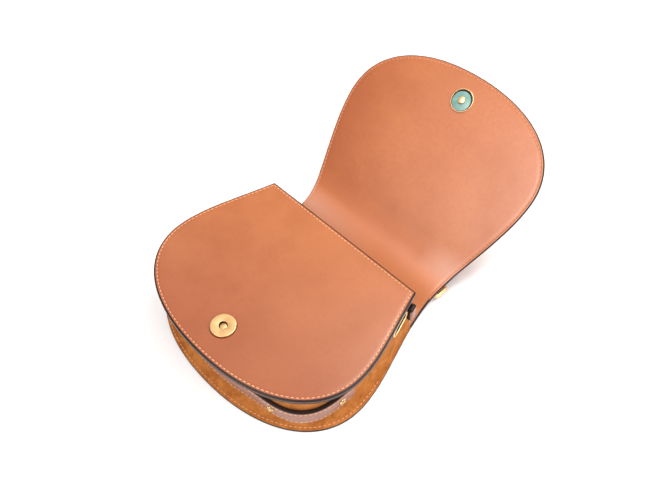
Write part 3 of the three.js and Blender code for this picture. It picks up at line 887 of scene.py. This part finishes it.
GUSSET_LIMIT = 1 - GUSSET_FROM_MOUTH / EDGE_LENGTH
gusset_stations = np.linspace(-GUSSET_LIMIT, GUSSET_LIMIT, GUSSET_ROWS)
gusset_skins = [suede, edge_paint]
gusset = sweep_round_edge("gusset_strip", gusset_stations, gusset_section, gusset_skins, gusset_index)
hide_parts("gusset")
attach(gusset, "bag")


def flange_thread_line():
    """Stitch line on the lower flange, where the fold leaves it flat."""
    points = []
    for station in np.linspace(-FLANGE_STITCH_END, FLANGE_STITCH_END, FLANGE_STITCH_POINTS):
        point, inward = edge_frame(station)
        x, y = point + inward * min(FLANGE_STITCH, knee_at(station) - KNEE_CLEAR)
        points.append((x * MM, y * MM, (BACK_THICK + GUSSET_THICK) * MM))
    return points, [(0.0, 0.0, 1.0)] * len(points)


flange_thread = stitches("flange_thread", *flange_thread_line())
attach(flange_thread, "bag")

# Band in the gusset's channel: a stout strap with painted edges, sewn along both edges and pinned
# through the gusset by brass eyelets. Two short ends of the same strap are sewn on at the mouth corners.
BAND_THICK = 3.0
BAND_HEIGHT = 14.0
BAND_START = 76.0
BAND_GAP = 0.3
BAND_ROUND = 0.5
CORNER_CUT = 0.3
BAND_STITCH = 2.0
BAND_ROWS = 131
# The band's colours are partly its own darker calf and partly a painted sheen: a greyish pink standing in
# for light reflected off its face.
BAND_CALF = (0.27, 0.112, 0.062, 1.0)
BAND_CALF_DARK = (0.19, 0.065, 0.045, 1.0)
BAND_CALF_LIGHT = (0.42, 0.20, 0.15, 1.0)
BAND_ROUGH = (0.3, 0.45)
BAND_LIMIT = 1 - BAND_START / EDGE_LENGTH
STRAP_END_THICK = 3.8
STRAP_END_HEIGHT = 13.0
STRAP_END_LENGTH = 7.4
STRAP_END_MID = MID_HEIGHT + 6.5
STRAP_END_ROUND = 1.6
STRAP_END_EDGE = 0.9
STRAP_END_STITCH = 2.5
STRAP_END_ROWS = 25
# Rows at each end of a strap that its stitching leaves free.
BAND_FREE = 2
STRAP_END_FREE = 6
# Sides of a strap's section that are its two faces.
STRAP_FACES = (5, 11)
band_calf_and_sheen = calf_material("band_calf_and_sheen", BAND_CALF, BAND_CALF_DARK, BAND_CALF_LIGHT, BAND_ROUGH)
band_skins = [band_calf_and_sheen, edge_paint]


def band_back(station):
    """Distance in of the band's inner face, just clear of the channel's wall."""
    return wall_at(station) - GUSSET_THICK / 2 - BAND_GAP


def band_front(station):
    """Distance in of the band's outer face."""
    return band_back(station) - BAND_THICK


def strap_section(front, back, middle, height, edge=BAND_ROUND):
    """A strap's section with its four edges rounded."""
    low, high = middle - height / 2, middle + height / 2
    cut = edge * CORNER_CUT
    return np.array([
        (front, low + edge), (front + cut, low + cut), (front + edge, low),
        (back - edge, low), (back - cut, low + cut), (back, low + edge),
        (back, high - edge), (back - cut, high - cut), (back - edge, high),
        (front + edge, high), (front + cut, high - cut), (front, high - edge),
    ])


def band_section(station):
    """The band's section at a station."""
    return strap_section(band_front(station), band_back(station), CHANNEL_MID, BAND_HEIGHT)


def strap_end_section(station):
    """The strap end's section, drawn in at both its ends so that they are round."""
    back = band_back(station) - BAND_GAP
    from_mouth = (GUSSET_LIMIT - abs(station)) * EDGE_LENGTH
    from_end = min(from_mouth, STRAP_END_LENGTH - from_mouth)
    short = max(0.0, STRAP_END_ROUND - from_end)
    cut = STRAP_END_ROUND - math.sqrt(max(0.0, STRAP_END_ROUND ** 2 - short ** 2))
    front = back - STRAP_END_THICK + cut
    return strap_section(front, back, STRAP_END_MID, STRAP_END_HEIGHT - 2 * cut, STRAP_END_EDGE)


def strap_index(j, _):
    """Faces are calf, edges painted."""
    return 0 if j in STRAP_FACES else 1


def strap_thread_line(stations, thick, height):
    """Stitch line along the outer face of a strap, at one height."""
    points, normals = [], []
    for station in stations:
        point, inward = edge_frame(station)
        x, y = point + inward * (band_back(station) - thick)
        points.append((x * MM, y * MM, height * MM))
        normals.append((-inward[0], -inward[1], 0.0))
    return points, normals


band_stations = np.linspace(-BAND_LIMIT, BAND_LIMIT, BAND_ROWS)
band = sweep_round_edge("band_strap", band_stations, band_section, band_skins, strap_index)
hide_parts("gusset_band")
strap_pieces = [band]
stitch_off = BAND_HEIGHT / 2 - BAND_STITCH
for edge, height in (("low", CHANNEL_MID - stitch_off), ("high", CHANNEL_MID + stitch_off)):
    band_line = strap_thread_line(band_stations[BAND_FREE:-BAND_FREE], BAND_THICK, height)
    strap_pieces.append(stitches(f"band_thread_{edge}", *band_line))
tip_start = GUSSET_LIMIT - STRAP_END_LENGTH / EDGE_LENGTH
tip_stitch_height = STRAP_END_MID + STRAP_END_HEIGHT / 2 - STRAP_END_STITCH
for side, sign in (("left", -1), ("right", 1)):
    end_stations = sign * np.linspace(tip_start, GUSSET_LIMIT, STRAP_END_ROWS)[::sign]
    tip_name = f"strap_tip_{side}"
    strap_end = sweep_round_edge(tip_name, end_stations, strap_end_section, band_skins, strap_index)
    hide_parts(f"strap_end_{side}")
    sewn = end_stations[STRAP_END_FREE:-STRAP_END_FREE]
    end_line = strap_thread_line(sewn, BAND_GAP + STRAP_END_THICK, tip_stitch_height)
    strap_pieces += [strap_end, stitches(f"strap_tip_thread_{side}", *end_line)]
for strip in strap_pieces:
    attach(strip, "bag")

# Brass hardware of the bag: eyelets through the band, oval grommets at the mouth corners and the cup of
# the magnetic snap. Turned or pressed brass with a gold wash, polished, satin or brushed, lightly rubbed.
BRASS = (0.70, 0.46, 0.18, 1.0)
BRASS_PALE = (0.82, 0.60, 0.29, 1.0)
BRASS_ROUGH = (0.16, 0.34)
SATIN = (0.93, 0.60, 0.29, 1.0)
SATIN_PALE = (0.97, 0.68, 0.37, 1.0)
SATIN_ROUGH = (0.36, 0.46)
BRUSHED = (0.74, 0.44, 0.19, 1.0)
BRUSHED_PALE = (0.80, 0.51, 0.245, 1.0)
BRUSHED_ROUGH = (0.42, 0.52)
# Near-black painted shade for the walls of holes, bores and gaps in the brass.
SHADE_BLACK = (0.03, 0.025, 0.02, 1.0)
SHADE_GREY = (0.06, 0.05, 0.04, 1.0)
WELL_ROUGH = (0.5, 0.7)
EYELET_STATIONS = (-0.56, -0.29, 0.29, 0.56)
GROMMET_FROM_MOUTH = 21.0
GROMMET_LONG = 22.0
GROMMET_HIGH = 10.0
GROMMET_RIM = 0.95
GROMMET_RISE = 0.6
GROMMET_HEIGHT = MID_HEIGHT + 11.0
GROMMET_STAND = 0.5
BARREL_TOP = -0.05
BARREL_DEEP = -2.8
BARREL_THICK = 0.45
SLOT_ROOM = 1.1
SLOT_CUT = (-8.0, 6.0)
OVAL_POINTS = 18
RIM_POINTS = 9
SNAP_FROM_MOUTH = 111.6
SNAP_STAND = 0.3
TURNED_CREASE = 40
ROUND_CREASE = 50


def make_metal_rub():
    """Handling marks: cloudy patches and short fine scratches."""
    tree, start, end, place = effect_group("metal_rub", [
        ("INPUT", "NodeSocketColor", "Base"), ("INPUT", "NodeSocketColor", "Pale"),
        ("OUTPUT", "NodeSocketColor", "Color"), ("OUTPUT", "NodeSocketFloat", "Rub"),
    ])
    cloud = noise(tree, place, Scale=260.0, Detail=4.0)
    stretch = tree.nodes.new("ShaderNodeMapping")
    tree.links.new(place, stretch.inputs["Vector"])
    stretch.inputs["Scale"].default_value = (1.0, 9.0, 3.0)
    scratch = noise(tree, stretch.outputs[0], Scale=900.0, Detail=2.0)
    tone = mix(tree, ramp(tree, cloud, 0.4, 0.7), start.outputs["Base"], start.outputs["Pale"])
    tree.links.new(tone, end.inputs["Color"])
    marks = tree.nodes.new("ShaderNodeMath")
    marks.operation = "MAXIMUM"
    tree.links.new(ramp(tree, cloud, 0.35, 0.75), marks.inputs[0])
    tree.links.new(ramp(tree, scratch, 0.6, 0.75), marks.inputs[1])
    tree.links.new(marks.outputs[0], end.inputs["Rub"])
    return tree


metal_rub = make_metal_rub()


def metal_material(name, base, pale, rough, metallic=1.0):
    """Rubbed metal, or a hard lacquer where it isn't metallic."""
    material, _, shader = coated(name, metal_rub, "Rub", rough, Base=base, Pale=pale)
    shader.inputs["Metallic"].default_value = metallic
    return material


brass = metal_material("gold_brass", BRASS, BRASS_PALE, BRASS_ROUGH)
satin_brass = metal_material("satin_brass", SATIN, SATIN_PALE, SATIN_ROUGH)
brushed_brass = metal_material("brushed_brass", BRUSHED, BRUSHED_PALE, BRUSHED_ROUGH)
# Painted shade: dark metal, named snap_well, laid on the walls of holes, bores and gaps where shade falls.
painted_shade_metal = metal_material("snap_well", SHADE_BLACK, SHADE_GREY, WELL_ROUGH)


def turned(name, profile, place, materials, dark=(), segments=72):
    """A turned piece from a closed (radius, height) profile, set in place by a matrix. The steps of the
    profile named in dark take the second material, which is painted shade where holes, bores and gaps fall
    dark."""
    rows = []
    for i in range(segments):
        turn = math.tau * i / segments
        row = []
        for radius, height in profile:
            spot = Vector((radius * math.cos(turn), radius * math.sin(turn), height))
            row.append(place @ (spot * MM))
        rows.append(row)
    piece = skin(name, rows, materials, lambda j, i: 1 if j in dark else 0, closed=True)
    keep_corners_sharp(piece, TURNED_CREASE)
    return piece


def facing_out(point, inward, height):
    """Matrix that sets a piece made facing +Z on the gusset or band, facing out."""
    out = Vector((-inward[0], -inward[1], 0.0))
    up = Vector((0, 0, 1))
    turn = Matrix((up.cross(out), up, out)).transposed().to_4x4()
    return Matrix.Translation(Vector((point[0], point[1], height)) * MM) @ turn


def on_band(station):
    """Point on the band's outer face and the inward direction square to it."""
    step = 0.01
    near = []
    for at in (station - step, station, station + step):
        point, inward = edge_frame(at)
        near.append(point + inward * band_front(at))
    along = (near[2] - near[0]) / np.linalg.norm(near[2] - near[0])
    return near[1], np.array([-along[1], along[0]])


eyelet_profile = [(1.3, -2.7), (1.8, -2.7), (1.8, 0.05), (2.5, 0.05), (2.6, 0.3), (2.5, 0.55),
                  (2.2, 0.75), (1.85, 0.78), (1.5, 0.65), (1.3, 0.3)]
# Painted shade on the eyelet's bore wall.
EYELET_BORE_SHADE = (9,)
for number, station in enumerate(EYELET_STATIONS, start=1):
    seat = facing_out(*on_band(station), CHANNEL_MID)
    eyelet = turned(f"eyelet_{number}", eyelet_profile, seat, [brass, painted_shade_metal], EYELET_BORE_SHADE, segments=40)
    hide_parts(f"band_eyelet_{number}")
    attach(eyelet, "bag")


def stadium(long, high):
    """Points and outward directions round an oval with straight sides."""
    reach, radius = (long - high) / 2, high / 2
    path = []
    for sign, first in ((1, -0.5), (-1, 0.5)):
        for turn in np.linspace(first * math.pi, (first + 1) * math.pi, OVAL_POINTS):
            nx, ny = math.cos(turn), math.sin(turn)
            path.append((sign * reach + radius * nx, radius * ny, nx, ny))
    return path


def oval_ring(name, place):
    """A pressed oval grommet: a half-round rim with a barrel that goes through the gusset, the barrel's
    inner wall painted dark as painted shade in the slot.
    """
    half = GROMMET_RIM / 2
    turns = np.linspace(0, math.pi, RIM_POINTS)
    section = [(half * math.cos(a), GROMMET_RISE * math.sin(a)) for a in turns]
    outside = -half + BARREL_THICK
    section += [(-half, BARREL_DEEP), (outside, BARREL_DEEP), (outside, BARREL_TOP)]
    rows = []
    for x, y, nx, ny in stadium(GROMMET_LONG - GROMMET_RIM, GROMMET_HIGH - GROMMET_RIM):
        rows.append([place @ (Vector((x + nx * off, y + ny * off, rise)) * MM) for off, rise in section])
    skins = [satin_brass, painted_shade_metal]
    # The inner wall of the barrel is painted shade.
    piece = skin(name, rows, skins, lambda j, i: 1 if j == RIM_POINTS - 1 else 0, closed=True)
    keep_corners_sharp(piece, ROUND_CREASE)
    return piece


def cut_slot(piece, place):
    """Cuts the grommet's slot through the gusset."""
    narrower = 2 * GROMMET_RIM - SLOT_ROOM
    edge = stadium(GROMMET_LONG - narrower, GROMMET_HIGH - narrower)
    rows = [[place @ (Vector((x, y, rise)) * MM) for x, y, _, _ in edge] for rise in SLOT_CUT]
    tool = skin("slot_tool", rows, [suede])
    change = piece.modifiers.new("slot", "BOOLEAN")
    change.object = tool
    done = bpy.data.meshes.new_from_object(piece.evaluated_get(bpy.context.evaluated_depsgraph_get()))
    piece.modifiers.clear()
    piece.data = done
    bpy.data.objects.remove(tool)


for side, sign in (("left", -1), ("right", 1)):
    station = sign * (1 - GROMMET_FROM_MOUTH / EDGE_LENGTH)
    point, inward = edge_frame(station)
    wall_face = wall_at(station) - GUSSET_THICK / 2
    seat = facing_out(point + inward * (wall_face - GROMMET_STAND), inward, GROMMET_HEIGHT)
    cut_slot(gusset, seat)
    oval = oval_ring(f"oval_grommet_{side}", seat)
    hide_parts(f"grommet_{side}")
    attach(oval, "bag")

on_front = Matrix.Translation(Vector((0, -SNAP_FROM_MOUTH, BAG_DEPTH + SNAP_STAND)) * MM)
cup_profile = [(3.0, 0.0), (9.3, 0.0), (9.3, 0.45), (9.0, 0.5), (9.0, 1.6), (8.9, 1.85), (8.65, 1.97),
               (8.3, 2.0), (3.2, 2.0), (3.05, 1.95), (3.0, 1.85)]
# Painted shade on the cup's foot and on the wall of its centre hole.
CUP_SHADE_STEPS = (1, 2, 10)
snap_cup = turned("snap_cup", cup_profile, on_front, [brushed_brass, painted_shade_metal], CUP_SHADE_STEPS, segments=96)
well_profile = [(0.0, -0.2), (2.95, -0.2), (2.95, 0.3), (2.6, 0.35), (2.5, 0.55), (2.3, 0.65), (0.0, 0.7)]
# Painted shade on the well's walls, in the gap under the cup's hole.
WELL_SHADE_STEPS = (1, 2, 3)
snap_well = turned("snap_well", well_profile, on_front, [brushed_brass, painted_shade_metal], WELL_SHADE_STEPS, segments=48)
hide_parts("front_snap_cup", "front_snap_magnet")
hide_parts("front_snap_washer")
for fitting in (snap_cup, snap_well):
    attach(fitting, "bag")

# Flap half of the snap: a shallow brass dish with a bright rim, a green lacquered disc set a little off its
# middle, and a brass post that drops into the cup. The dish's inner wall and floor are painted shade,
# showing as a dark crescent beside the disc.
SNAP_ALONG_FLAP = SNAP_FROM_MOUTH + FOLD_Y
LACQUER = (0.14, 0.27, 0.235, 1.0)
LACQUER_PALE = (0.19, 0.33, 0.29, 1.0)
LACQUER_ROUGH = (0.3, 0.45)
flap_spot = on_hide(0, SPINE_LENGTH + SNAP_ALONG_FLAP, FLAP_THICK)
on_flap = Matrix.Translation(flap_spot) @ Matrix.Rotation(OPEN_TILT, 4, "X")
lacquer = metal_material("green_lacquer", LACQUER, LACQUER_PALE, LACQUER_ROUGH, metallic=0.0)
rim_profile = [(2.4, 0.0), (9.0, 0.0), (9.1, 0.3), (9.05, 0.75), (8.85, 0.93), (8.65, 0.93), (8.5, 0.75),
               (8.45, 0.25), (2.4, 0.2)]
# Painted shade on the rim's inner wall and the dish's floor.
RIM_SHADE_STEPS = (6, 7, 8)
snap_rim = turned("snap_rim", rim_profile, on_flap, [satin_brass, painted_shade_metal], RIM_SHADE_STEPS, segments=96)
face_profile = [(2.5, 0.1), (7.5, 0.1), (7.65, 0.35), (7.6, 0.7), (7.4, 0.8), (2.5, 0.72)]
FACE_OFF = (-0.12, -0.75, 0.0)
set_over = Matrix.Translation(Vector(FACE_OFF) * MM)
snap_face = turned("snap_face", face_profile, on_flap @ set_over, [lacquer])
post_profile = [(0.0, -1.0), (2.0, -1.0), (2.0, 0.8), (2.7, 1.0), (2.8, 1.45), (2.65, 1.8), (2.25, 2.0),
                (0.0, 2.05)]
snap_post = turned("snap_post", post_profile, on_flap, [satin_brass], segments=48)
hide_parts("flap_snap_plate", "flap_snap_washer")
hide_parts("flap_snap_post")
for fitting in (snap_rim, snap_face, snap_post):
    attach(fitting, "flap")

# Rings and handle tabs: each ring is a bent wire of satin brass, and each tab a short strap of calf with
# burnished edges, laid over the ring's near bar on the outside of the spine and riveted at its long leg.
HANDLE_HALF = 60.5
TAB_ANGLE = math.radians(24.7)
TAB_WIDTH = 12.0
TAB_SHEET = 1.2
TAB_SHORT = 11.0
TAB_LONG = 12.5
WIRE = 1.6
WIRE_ROOM = 0.4
TAB_GAP = 0.3
TAB_SEAT = 0.06
SHORT_LEG_POINTS = 6
LONG_LEG_POINTS = 7
HUMP_UNDER_POINTS = 15
HUMP_OVER_POINTS = 17
RING_HALF = 11.0
RING_REACH = 12.0
RING_CORNER = 3.0
RING_CORNER_POINTS = 9
WIRE_SIDES = 16
STRAP_BEVEL = 0.3
STRAP_CREASE = 35
LOOP_IN = WIRE + WIRE_ROOM
BAR_OFF = LOOP_IN + TAB_GAP


def off_spine(s, off):
    """(y, z) at an arc distance s from the tab's middle and a distance off the spine's outer face."""
    angle = TAB_ANGLE + s / SPINE_RADIUS
    radius = SPINE_RADIUS + off
    return FOLD_Y + radius * math.sin(angle), SPINE_RADIUS - radius * math.cos(angle)


bar_y, bar_z = off_spine(0.0, BAR_OFF)


def wire_ring(name, x):
    """A closed loop of round wire on a rounded rectangle."""
    half_x, half_y, corner = RING_HALF - WIRE, RING_REACH / 2, RING_CORNER
    middle = Vector((x, bar_y + RING_REACH / 2, bar_z))
    wire_turns = [math.tau * j / WIRE_SIDES for j in range(WIRE_SIDES)]
    rows = []
    for cx, cy, first in ((1, 1, 0.0), (-1, 1, 0.5), (-1, -1, 1.0), (1, -1, 1.5)):
        for turn in np.linspace(first * math.pi, (first + 0.5) * math.pi, RING_CORNER_POINTS):
            nx, ny = math.cos(turn), math.sin(turn)
            px, py = cx * (half_x - corner) + corner * nx, cy * (half_y - corner) + corner * ny
            row = []
            for wire_turn in wire_turns:
                off, rise = WIRE * math.cos(wire_turn), WIRE * math.sin(wire_turn)
                row.append((middle + Vector((px + nx * off, py + ny * off, rise))) * MM)
            rows.append(row)
    return skin(name, rows, [satin_brass], closed=True)


def strap_across(name, outline, width, x, materials, loops=()):
    """A strap made from its side view: a (y, z) outline, with loops left open, run across the bag."""
    curve = bpy.data.curves.new(name, "CURVE")
    curve.dimensions = "2D"
    curve.fill_mode = "BOTH"
    curve.extrude = (width / 2 - STRAP_BEVEL) * MM
    curve.bevel_depth = STRAP_BEVEL * MM
    curve.bevel_resolution = 2
    curve.offset = -STRAP_BEVEL * MM
    for line in (outline, *loops):
        spline = curve.splines.new("POLY")
        spline.points.add(len(line) - 1)
        for point, (y, z) in zip(spline.points, line):
            point.co = (y * MM, z * MM, 0.0, 1.0)
        spline.use_cyclic_u = True
    maker = bpy.data.objects.new(name + "_maker", curve)
    bpy.context.scene.collection.objects.link(maker)
    shaped = bpy.data.meshes.new_from_object(maker.evaluated_get(bpy.context.evaluated_depsgraph_get()))
    bpy.data.objects.remove(maker)
    shaped.transform(Matrix(((0, 0, 1, x * MM), (1, 0, 0, 0), (0, 1, 0, 0), (0, 0, 0, 1))))
    shaped.name = name
    shaped.materials.clear()
    for material in materials:
        shaped.materials.append(material)
    piece = bpy.data.objects.new(name, shaped)
    bpy.context.scene.collection.objects.link(piece)
    clean_mesh(piece)
    steep = 0.5
    sides = [1 if abs(face.normal.x) > steep else 0 for face in piece.data.polygons]
    piece.data.polygons.foreach_set("material_index", sides)
    piece.data.polygons.foreach_set("use_smooth", [True] * len(sides))
    keep_corners_sharp(piece, STRAP_CREASE)
    return piece


def tab_outline():
    """Side view of the tab: short leg, hump over the wire, long leg."""
    outer = LOOP_IN + TAB_SHEET
    over = TAB_GAP + TAB_SHEET
    hump_under = np.linspace(math.pi, 0, HUMP_UNDER_POINTS)
    hump_over = np.linspace(0, math.pi, HUMP_OVER_POINTS)
    flat = [(s, TAB_SEAT) for s in np.linspace(-TAB_SHORT, -LOOP_IN, SHORT_LEG_POINTS)]
    flat += [(LOOP_IN * math.cos(a), BAR_OFF + LOOP_IN * math.sin(a)) for a in hump_under]
    flat += [(s, TAB_SEAT) for s in np.linspace(LOOP_IN, TAB_LONG, LONG_LEG_POINTS)]
    flat += [(s, over) for s in np.linspace(TAB_LONG, outer, LONG_LEG_POINTS)]
    flat += [(outer * math.cos(a), BAR_OFF + outer * math.sin(a)) for a in hump_over]
    flat += [(s, over) for s in np.linspace(-outer, -TAB_SHORT, SHORT_LEG_POINTS)]
    return [off_spine(s, off) for s, off in flat]


RIVET_AT = (LOOP_IN + TAB_SHEET + TAB_LONG) / 2
rivet_profile = [(0.0, -1.2), (1.3, -1.2), (1.3, 0.0), (2.6, 0.0), (2.65, 0.3), (2.4, 0.65), (1.7, 0.95),
                 (0.8, 1.08), (0.0, 1.1)]
rivet_angle = TAB_ANGLE + RIVET_AT / SPINE_RADIUS
for side, sign in (("left", -1), ("right", 1)):
    x = sign * HANDLE_HALF
    ring = wire_ring(f"wire_ring_{side}", x)
    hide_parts(f"ring_{side}")
    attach(ring, "rings")
    tab = strap_across(f"tab_{side}", tab_outline(), TAB_WIDTH, x, [calf, front_calf])
    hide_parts(f"handle_tab_{side}")
    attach(tab, "spine")
    y, z = off_spine(RIVET_AT, TAB_GAP + TAB_SHEET)
    stand = Matrix.Translation(Vector((x, y, z)) * MM) @ Matrix.Rotation(math.pi + rivet_angle, 4, "X")
    rivet = turned(f"rivet_tab_{side}", rivet_profile, stand, [brass], segments=40)
    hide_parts(f"tab_rivet_{side}")
    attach(rivet, "spine")

# Handle: a rolled calf grip over a cord core, sewn along its inner side, with folded calf ends that
# loop round the rings and are riveted into the grip.
END_WIDTH = 10.0
END_SHEET = 1.4
END_TONGUE = 17.0
END_LOOP_POINTS = 30
END_HOLE_POINTS = 28
GRIP_RADIUS = 4.2
GRIP_FROM = 8.0
GRIP_ARCH = 64.0
GRIP_SIDES = 28
GRIP_CURVE_POINTS = 400
GRIP_ROWS = 121
# How the grip's last rows narrow towards each end.
GRIP_NECK = (0.82, 0.94, 0.985)
SEAM_RISE = 0.35
SEAM_WIDTH = 0.16
GRIP_THREAD_TILT = math.radians(38)
GRIP_THREAD_FREE = 6
SLOT_DEPTH = 10.0
far_y, far_z = bar_y + RING_REACH, bar_z
grip_start = far_y + GRIP_FROM
grip_pull = grip_start + GRIP_ARCH * 4 / 3
grip_line = bezier((-HANDLE_HALF, grip_start), (-HANDLE_HALF, grip_pull), (HANDLE_HALF, grip_pull),
                   (HANDLE_HALF, grip_start), GRIP_CURVE_POINTS)
grip_line = even(grip_line, GRIP_ROWS)


def make_grip():
    """Round grip with a raised seam along its inner side, its ends narrowed over the tongues."""
    normal = left_normals(grip_line)
    last = len(grip_line) - 1
    rows = []
    for i, (x, y) in enumerate(grip_line):
        from_end = min(i, last - i)
        radius = GRIP_RADIUS * (GRIP_NECK[from_end] if from_end < len(GRIP_NECK) else 1.0)
        row = []
        for j in range(GRIP_SIDES):
            turn = math.tau * j / GRIP_SIDES
            from_seam = math.remainder(turn - math.pi, math.tau)
            off = radius * math.cos(turn) + SEAM_RISE * math.exp(-(from_seam / SEAM_WIDTH) ** 2)
            rise = radius * math.sin(turn)
            row.append(Vector((x - normal[i, 0] * off, y - normal[i, 1] * off, far_z + rise)) * MM)
        rows.append(row)
    piece = skin("rolled_grip", rows, [calf])
    keep_corners_sharp(piece, ROUND_CREASE)
    return piece


def grip_thread_line():
    """Stitch line along the grip, beside its seam."""
    normal = left_normals(grip_line)
    tilt = GRIP_THREAD_TILT
    sewn = slice(GRIP_THREAD_FREE, -GRIP_THREAD_FREE)
    points, normals = [], []
    for (x, y), (nx, ny) in zip(grip_line[sewn], normal[sewn]):
        off, rise = -GRIP_RADIUS * math.cos(tilt), GRIP_RADIUS * math.sin(tilt)
        points.append(((x - nx * off) * MM, (y - ny * off) * MM, (far_z + rise) * MM))
        normals.append((nx * math.cos(tilt), ny * math.cos(tilt), math.sin(tilt)))
    return points, normals


grip = make_grip()
grip_thread = stitches("grip_thread", *grip_thread_line())
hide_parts("handle_grip")
for rolled in (grip, grip_thread):
    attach(rolled, "handle")


def end_outline():
    """Side view of a folded end: a loop round the wire running into a two-ply tongue."""
    outer = LOOP_IN + END_SHEET
    join = math.asin(END_SHEET / outer)
    turns = np.linspace(join, math.tau - join, END_LOOP_POINTS)
    line = [(far_y + outer * math.cos(a), far_z + outer * math.sin(a)) for a in turns]
    line += [(far_y + END_TONGUE, far_z - END_SHEET), (far_y + END_TONGUE, far_z + END_SHEET)]
    return line


hole_turns = np.linspace(0, math.tau, END_HOLE_POINTS)[:-1]
end_hole = [(far_y + LOOP_IN * math.cos(a), far_z + LOOP_IN * math.sin(a)) for a in hole_turns]
STUD_CAP = 0.75
stud_seat = GRIP_RADIUS - STUD_CAP
# Upper half of the stud, as radius and height over its seat.
STUD_HALF = [(1.4, -0.6), (2.6, 0.0), (2.4, 0.4), (1.6, 0.7), (0.0, STUD_CAP)]
stud_profile = [(radius, -stud_seat - over) for radius, over in reversed(STUD_HALF)]
stud_profile += [(radius, stud_seat + over) for radius, over in STUD_HALF]
for side, sign in (("left", -1), ("right", 1)):
    x = sign * HANDLE_HALF
    end = strap_across(f"folded_end_{side}", end_outline(), END_WIDTH, x, [calf, edge_paint], (end_hole,))
    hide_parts(f"handle_end_{side}")
    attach(end, "handle")
    spot = Matrix.Translation(Vector((x, grip_start + SLOT_DEPTH / 2, far_z)) * MM)
    stud = turned(f"stud_{side}", stud_profile, spot, [brass], segments=40)
    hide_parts(f"handle_rivet_{side}")
    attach(stud, "handle")

# Floor, light and camera: a wide white floor, a main soft box high over the front, weaker ones behind,
# at the left and at the right, an even white sky, and the camera above the bag's front right.
FLOOR_WHITE = (0.93, 0.93, 0.93, 1.0)
# The floor, the lamps and their aim are in metres.
FLOOR_SIZE = 6.0
SKY_WHITE = (1.0, 1.0, 1.0, 1.0)
SKY_STRENGTH = 0.47
LIGHT_AIM = (0.0, 0.0, 0.03)
SENSOR = 36.0
CAMERA_AT = (239.8, -236.9, 470.8)
CAMERA_AIM = (7.2, -13.6, 47.0)
CAMERA_ROLL = -0.02
FOCAL_PIXELS = 738.6
IMAGE_WIDTH = 670.0

bpy.ops.mesh.primitive_plane_add(size=FLOOR_SIZE, location=(0, 0, 0))
floor = bpy.context.object
floor.name = "floor"
floor_white, _, floor_shader = new_material("floor_white")
floor_shader.inputs["Base Color"].default_value = FLOOR_WHITE
floor_shader.inputs["Roughness"].default_value = 0.85
floor.data.materials.append(floor_white)

world = bpy.data.worlds.new("studio")
world.use_nodes = True
sky = world.node_tree.nodes["Background"]
sky.inputs["Color"].default_value = SKY_WHITE
sky.inputs["Strength"].default_value = SKY_STRENGTH
bpy.context.scene.world = world
bpy.context.scene.view_settings.view_transform = "Standard"


def soft_box(name, place, size, power):
    """A rectangular lamp at a place in metres, turned to the bag."""
    lamp = bpy.data.lights.new(name, "AREA")
    lamp.shape = "RECTANGLE"
    lamp.size, lamp.size_y = size
    lamp.energy = power
    box = bpy.data.objects.new(name, lamp)
    bpy.context.scene.collection.objects.link(box)
    box.location = place
    box.rotation_euler = (Vector(LIGHT_AIM) - Vector(place)).to_track_quat("-Z", "Y").to_euler()


soft_box("front_box", place=(-0.1, -1.3, 1.75), size=(0.8, 0.8), power=31.0)
soft_box("back_box", place=(0.2, 0.55, 1.25), size=(0.9, 0.5), power=15.0)
soft_box("left_box", place=(-0.6, 0.35, 1.1), size=(0.9, 0.7), power=1.5)
soft_box("right_box", place=(1.0, 0.05, 0.65), size=(0.7, 0.6), power=6.5)

lens = bpy.data.cameras.new("camera")
lens.sensor_width = SENSOR
lens.lens = SENSOR * FOCAL_PIXELS / IMAGE_WIDTH
camera = bpy.data.objects.new("camera", lens)
bpy.context.scene.collection.objects.link(camera)
camera.location = Vector(CAMERA_AT) * MM
aim = (Vector(CAMERA_AIM) - Vector(CAMERA_AT)).to_track_quat("-Z", "Y").to_matrix()
camera.rotation_euler = (aim @ Matrix.Rotation(CAMERA_ROLL, 3, "Z")).to_euler()
bpy.context.scene.camera = camera
